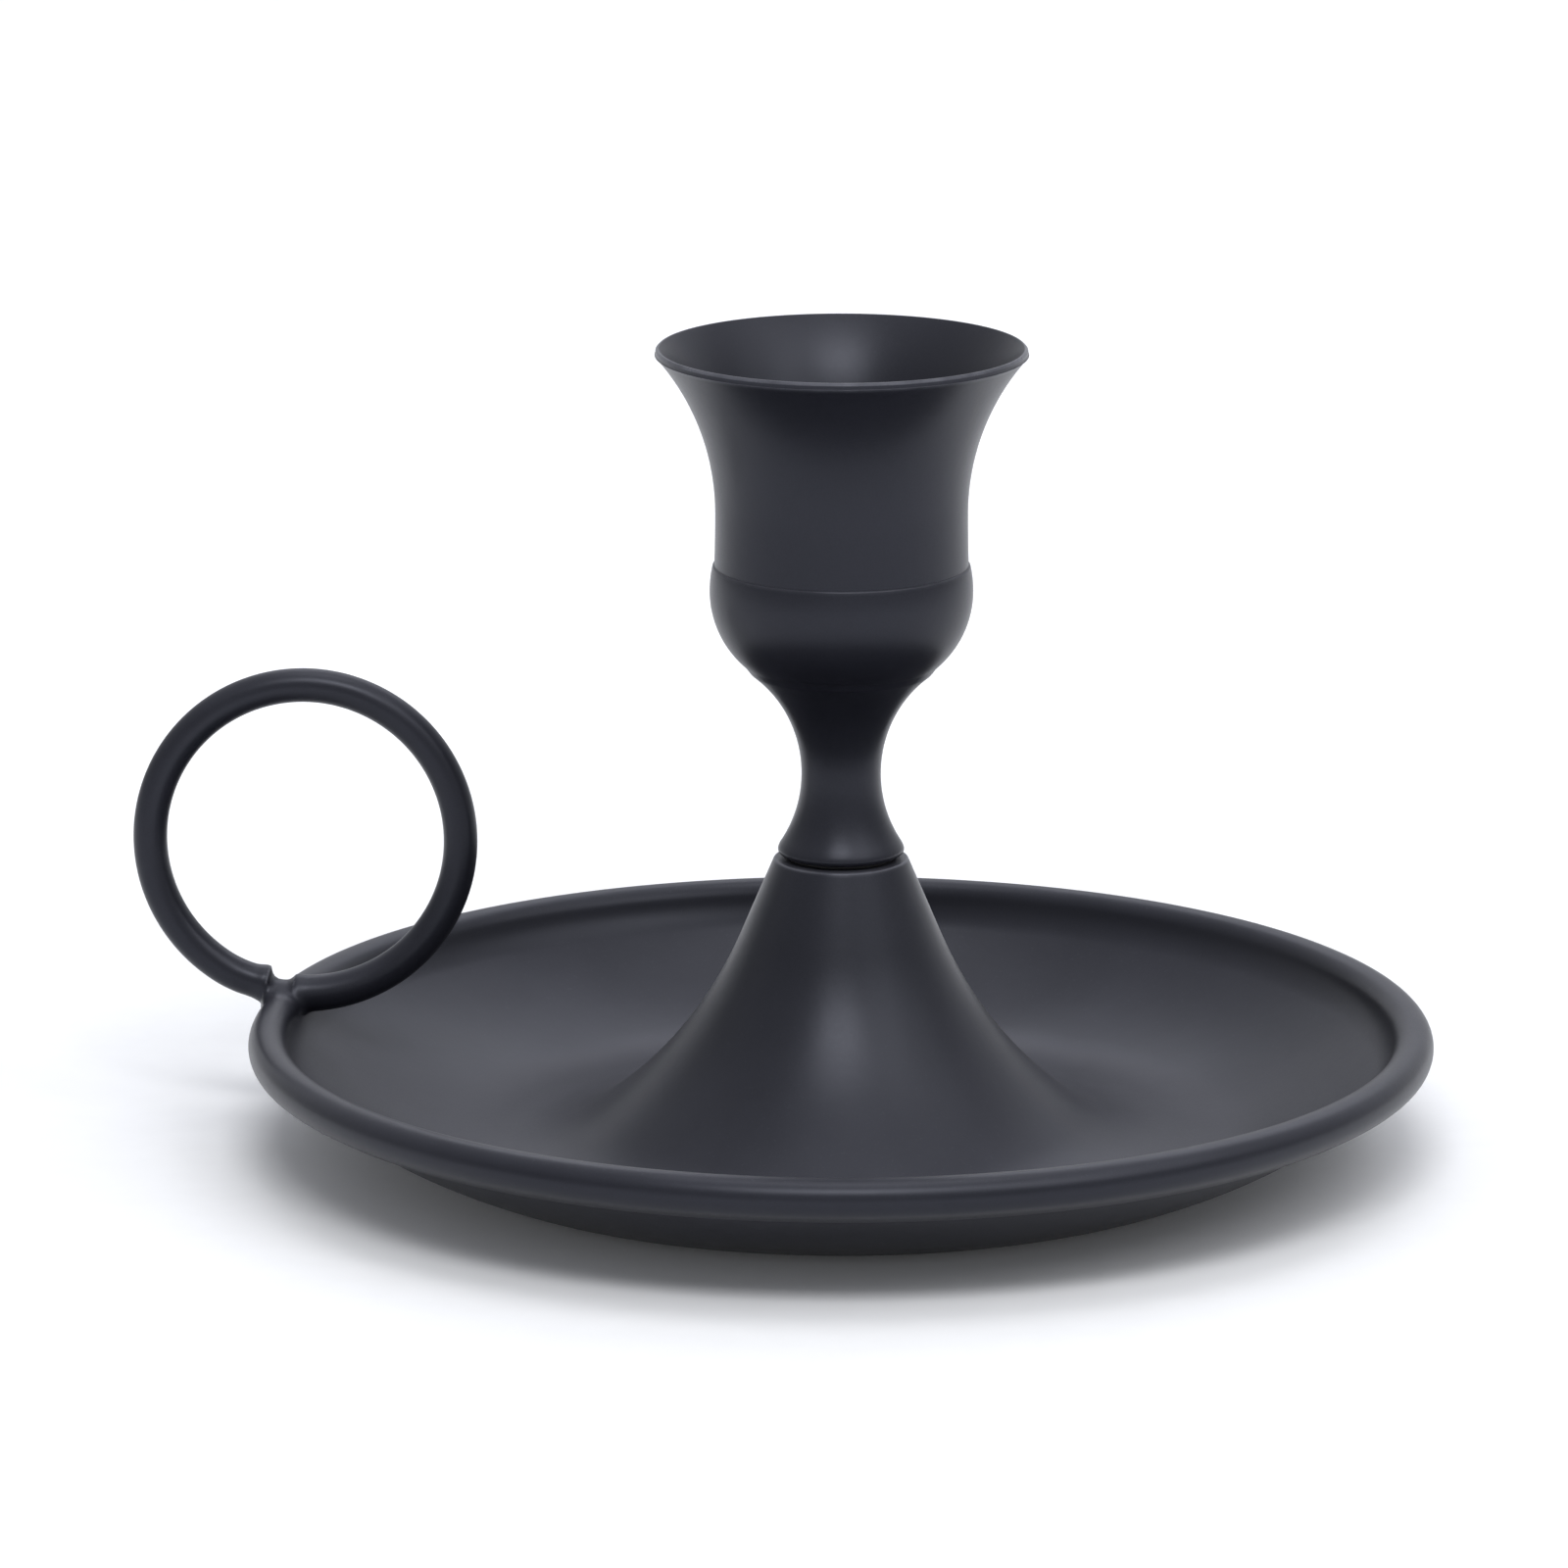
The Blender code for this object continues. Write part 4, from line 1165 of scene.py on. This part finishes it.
def head_with_recess(name, sizes, crown, seat, radius, shank):
    """A pan head with a cross recess, cut and ready to join with its shank."""
    up = 1 if crown > seat else -1
    corners = [(0, crown), (radius, crown), (radius, seat), (shank, seat), (0, seat)]
    outline = rounded(corners, [0, sizes.head_round, SEAT_EDGE, 0, 0])
    tool_shape = bmesh.new()
    add_cross(tool_shape, sizes, crown, up)
    tool = linked(name + "_recess", mesh_from(name + "_recess", tool_shape))
    head = turned(name, outline, HEAD_SIDES, closed=False)
    cut = modified(name, head, "BOOLEAN", operation="DIFFERENCE", solver="EXACT", object=tool)
    bpy.data.objects.remove(tool)
    return cut


def screw(name, node, body, sizes, crown, seat, tip, thread, pitch):
    """Adds a threaded screw from its head's crown over its seat to its tip, in place of its node."""
    shape = bmesh.new()
    shape.from_mesh(head_with_recess(name + "_head", sizes, crown, seat, radius_of(node), thread))
    low, high = sorted((seat, tip))
    add_thread(shape, thread, pitch, low - SHANK_EXTRA, high)
    placed(name, mesh_from(name, shape), body, "zinc_steel", [node])


class FastenerOperator(bpy.types.Operator):
    """Make the two threaded screws, their washers and the seat washer"""

    bl_idname = "chamberstick.fasteners"
    bl_label = "Screws and washers"

    def execute(self, context):
        sizes = context.scene.chamberstick.fasteners
        bore, edge = sizes.wide_bore, sizes.washer_edge
        washer("base_washer_steel", "base_washer", "base", "zinc_steel", bore, edge)
        washer("cup_washer_steel", "cup_washer", "candle_head", "zinc_steel", sizes.small_bore, edge)
        washer("seat_washer_rubber", "seat_washer", "captive_washer", "black_rubber", bore, edge)
        low, high = low_of("base_screw").z, high_of("base_screw").z
        seat, thread, pitch = low + sizes.base_head_height, sizes.base_thread, sizes.base_pitch
        screw("saucer_screw", "base_screw", "base", sizes, low, seat, high, thread, pitch)
        low, high = low_of("cup_screw").z, high_of("cup_screw").z
        seat, thread, pitch = high - sizes.cup_head_height, sizes.cup_thread, sizes.cup_pitch
        screw("bulb_screw", "cup_screw", "candle_head", sizes, high, seat, low, thread, pitch)
        return {"FINISHED"}


# The studio

# The floor's half width, its front edge, its back edge and top with the bend between, and the bend's steps
SWEEP_HALF, SWEEP_FRONT, SWEEP_BACK, SWEEP_BEND, SWEEP_TOP, SWEEP_STEPS = 3.0, -3.0, 2.4, 0.8, 2.6, 24
# The paper's fibres, how much paler they are, and its roughness
PAPER_FIBRE, PAPER_PALE, PAPER_ROUGHNESS = 0.004, 1.02, 0.9
# Each lamp's place and its width and height
LAMPS = {
    "front_light": ((0.166, -0.783, 1.024), (0.6, 0.35)),
    "corner_light": ((0.753, -0.527, 0.919), (0.6, 0.6)),
    "right_light": ((0.85, -0.1, 0.96), (0.8, 0.9)),
    "back_light": ((-0.03, 0.92, 0.9), (1.1, 0.5)),
    "top_light": ((0.0, 0.113, 1.295), (0.6, 0.6)),
}
# The height over the floor at which the lamps aim
LAMP_AIM = 0.03
# The camera's sensor in millimetres, and how near it sees
SENSOR_WIDTH, CLIP_START = 36, 0.05


def stage_finish(settings):
    """Pale paper, near white to the camera and reflections, that keeps shadows and is clear from behind."""
    made, tree, shader = blank_material("stage_paper", settings.floor)
    vector = object_place(tree)
    fibres = noise(tree, vector, PAPER_FIBRE, detail=3.0)
    pale = [min(1.0, c * PAPER_PALE) for c in settings.floor]
    base = mixed(tree, remap(tree, fibres, NOISE_SPAN), (*settings.floor, 1), (*pale, 1))
    tree.links.new(base, shader.inputs["Base Color"])
    shader.inputs["Roughness"].default_value = PAPER_ROUGHNESS
    shader.inputs["Specular IOR Level"].default_value = 0.0
    rays = add_node(tree, "ShaderNodeLightPath").outputs
    seen = maths(tree, "MAXIMUM", rays["Is Camera Ray"], rays["Is Glossy Ray"])
    seen = maths(tree, "MAXIMUM", seen, rays["Is Transmission Ray"])
    levels = (settings.background_near, settings.background)
    level = remap(tree, length_of(tree, vector), (settings.near, settings.far), levels)
    glow = add_node(tree, "ShaderNodeEmission", {}, {"Strength": times(tree, seen, level)})
    lit = add_node(tree, "ShaderNodeAddShader", {}, {0: shader.outputs[0], 1: glow.outputs[0]})
    clear = add_node(tree, "ShaderNodeBsdfTransparent")
    behind = add_node(tree, "ShaderNodeNewGeometry").outputs["Backfacing"]
    shown = add_node(tree, "ShaderNodeMixShader", {}, {0: behind, 1: lit.outputs[0], 2: clear.outputs[0]})
    tree.links.new(shown.outputs[0], tree.nodes["Material Output"].inputs["Surface"])
    return made


def sweep_mesh():
    """The floor, which rises behind the object in one soft curve."""
    start, bend = SWEEP_BACK - SWEEP_BEND, SWEEP_BEND
    turns = spread(0, pi / 2, SWEEP_STEPS)[1:]
    side = [(SWEEP_FRONT, 0.0), (start, 0.0)]
    side += [(start + bend * sin(turn), bend - bend * cos(turn)) for turn in turns]
    side.append((SWEEP_BACK, SWEEP_TOP))
    shape = bmesh.new()
    rows = [[shape.verts.new((x, y, z)) for x in (-SWEEP_HALF, SWEEP_HALF)] for y, z in side]
    add_bands(shape, rows, False)
    mesh = emptied("studio_sweep", shape)
    mesh.shade_smooth()
    return mesh


def aimed(name, data, place, aim):
    """A new object in the scene that looks from its place at a point."""
    made = linked(name, data)
    made.location = place
    made.rotation_mode = "QUATERNION"
    made.rotation_quaternion = (Vector(aim) - Vector(place)).to_track_quat("-Z", "Y")
    return made


def area_light(name, place, size, power, tint):
    """Adds a rectangular light that shines on the object."""
    data = bpy.data.lights.new(name, "AREA")
    data.shape = "RECTANGLE"
    data.size, data.size_y = size
    data.energy, data.color = power, tint
    aimed(name, data, place, (AXIS_X, 0, LAMP_AIM))


def sky_light(settings):
    """A soft even light from all round."""
    world = bpy.data.worlds.new("studio_sky")
    bpy.context.scene.world = world
    world.use_nodes = True
    background = world.node_tree.nodes["Background"]
    background.inputs["Color"].default_value = (*settings.sky_colour, 1)
    background.inputs["Strength"].default_value = settings.sky


class StageOperator(bpy.types.Operator):
    """Set up the pale floor and backdrop, the soft lights and the camera"""

    bl_idname = "chamberstick.stage"
    bl_label = "Studio and camera"

    def execute(self, context):
        settings = context.scene.chamberstick.stage
        scene = context.scene
        scene.view_settings.view_transform = "Standard"
        sweep = linked("studio_sweep", sweep_mesh())
        sweep.data.materials.append(stage_finish(settings))
        sky_light(settings)
        for name, (place, size) in LAMPS.items():
            tint = settings.back_colour if name == "back_light" else (1, 1, 1)
            area_light(name, place, size, getattr(settings, name), tint)
        data = bpy.data.cameras.new("studio_camera")
        data.lens = settings.lens
        data.sensor_width = SENSOR_WIDTH
        data.clip_start = CLIP_START
        scene.camera = aimed("studio_camera", data, settings.camera_place, settings.camera_aim)
        return {"FINISHED"}


STEPS = (
    SaucerOperator,
    HandleOperator,
    StemOperator,
    BulbOperator,
    SleeveOperator,
    FastenerOperator,
    StageOperator,
)


class ChamberstickPanel(bpy.types.Panel):
    """The steps that dress the chamberstick"""

    bl_idname = "VIEW3D_PT_chamberstick"
    bl_label = "Chamberstick"
    bl_space_type = "VIEW_3D"
    bl_region_type = "UI"
    bl_category = "Chamberstick"

    def draw(self, context):
        for step in STEPS:
            self.layout.operator(step.bl_idname)


GROUPS = (
    SaucerSizes,
    HandleSizes,
    StemSizes,
    CupSizes,
    FastenerSizes,
    FinishSettings,
    StageSettings,
    ChamberstickSettings,
)


def register():
    for made in (*GROUPS, *STEPS, ChamberstickPanel):
        bpy.utils.register_class(made)
    bpy.types.Scene.chamberstick = bpy.props.PointerProperty(type=ChamberstickSettings)


def unregister():
    del bpy.types.Scene.chamberstick
    for made in reversed((*GROUPS, *STEPS, ChamberstickPanel)):
        bpy.utils.unregister_class(made)


def main():
    register()
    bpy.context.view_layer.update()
    bpy.ops.chamberstick.saucer()
    bpy.ops.chamberstick.handle()
    bpy.ops.chamberstick.stem()
    bpy.ops.chamberstick.bulb()
    bpy.ops.chamberstick.sleeve()
    bpy.ops.chamberstick.fasteners()
    bpy.ops.chamberstick.stage()


if __name__ == "__main__":
    main()
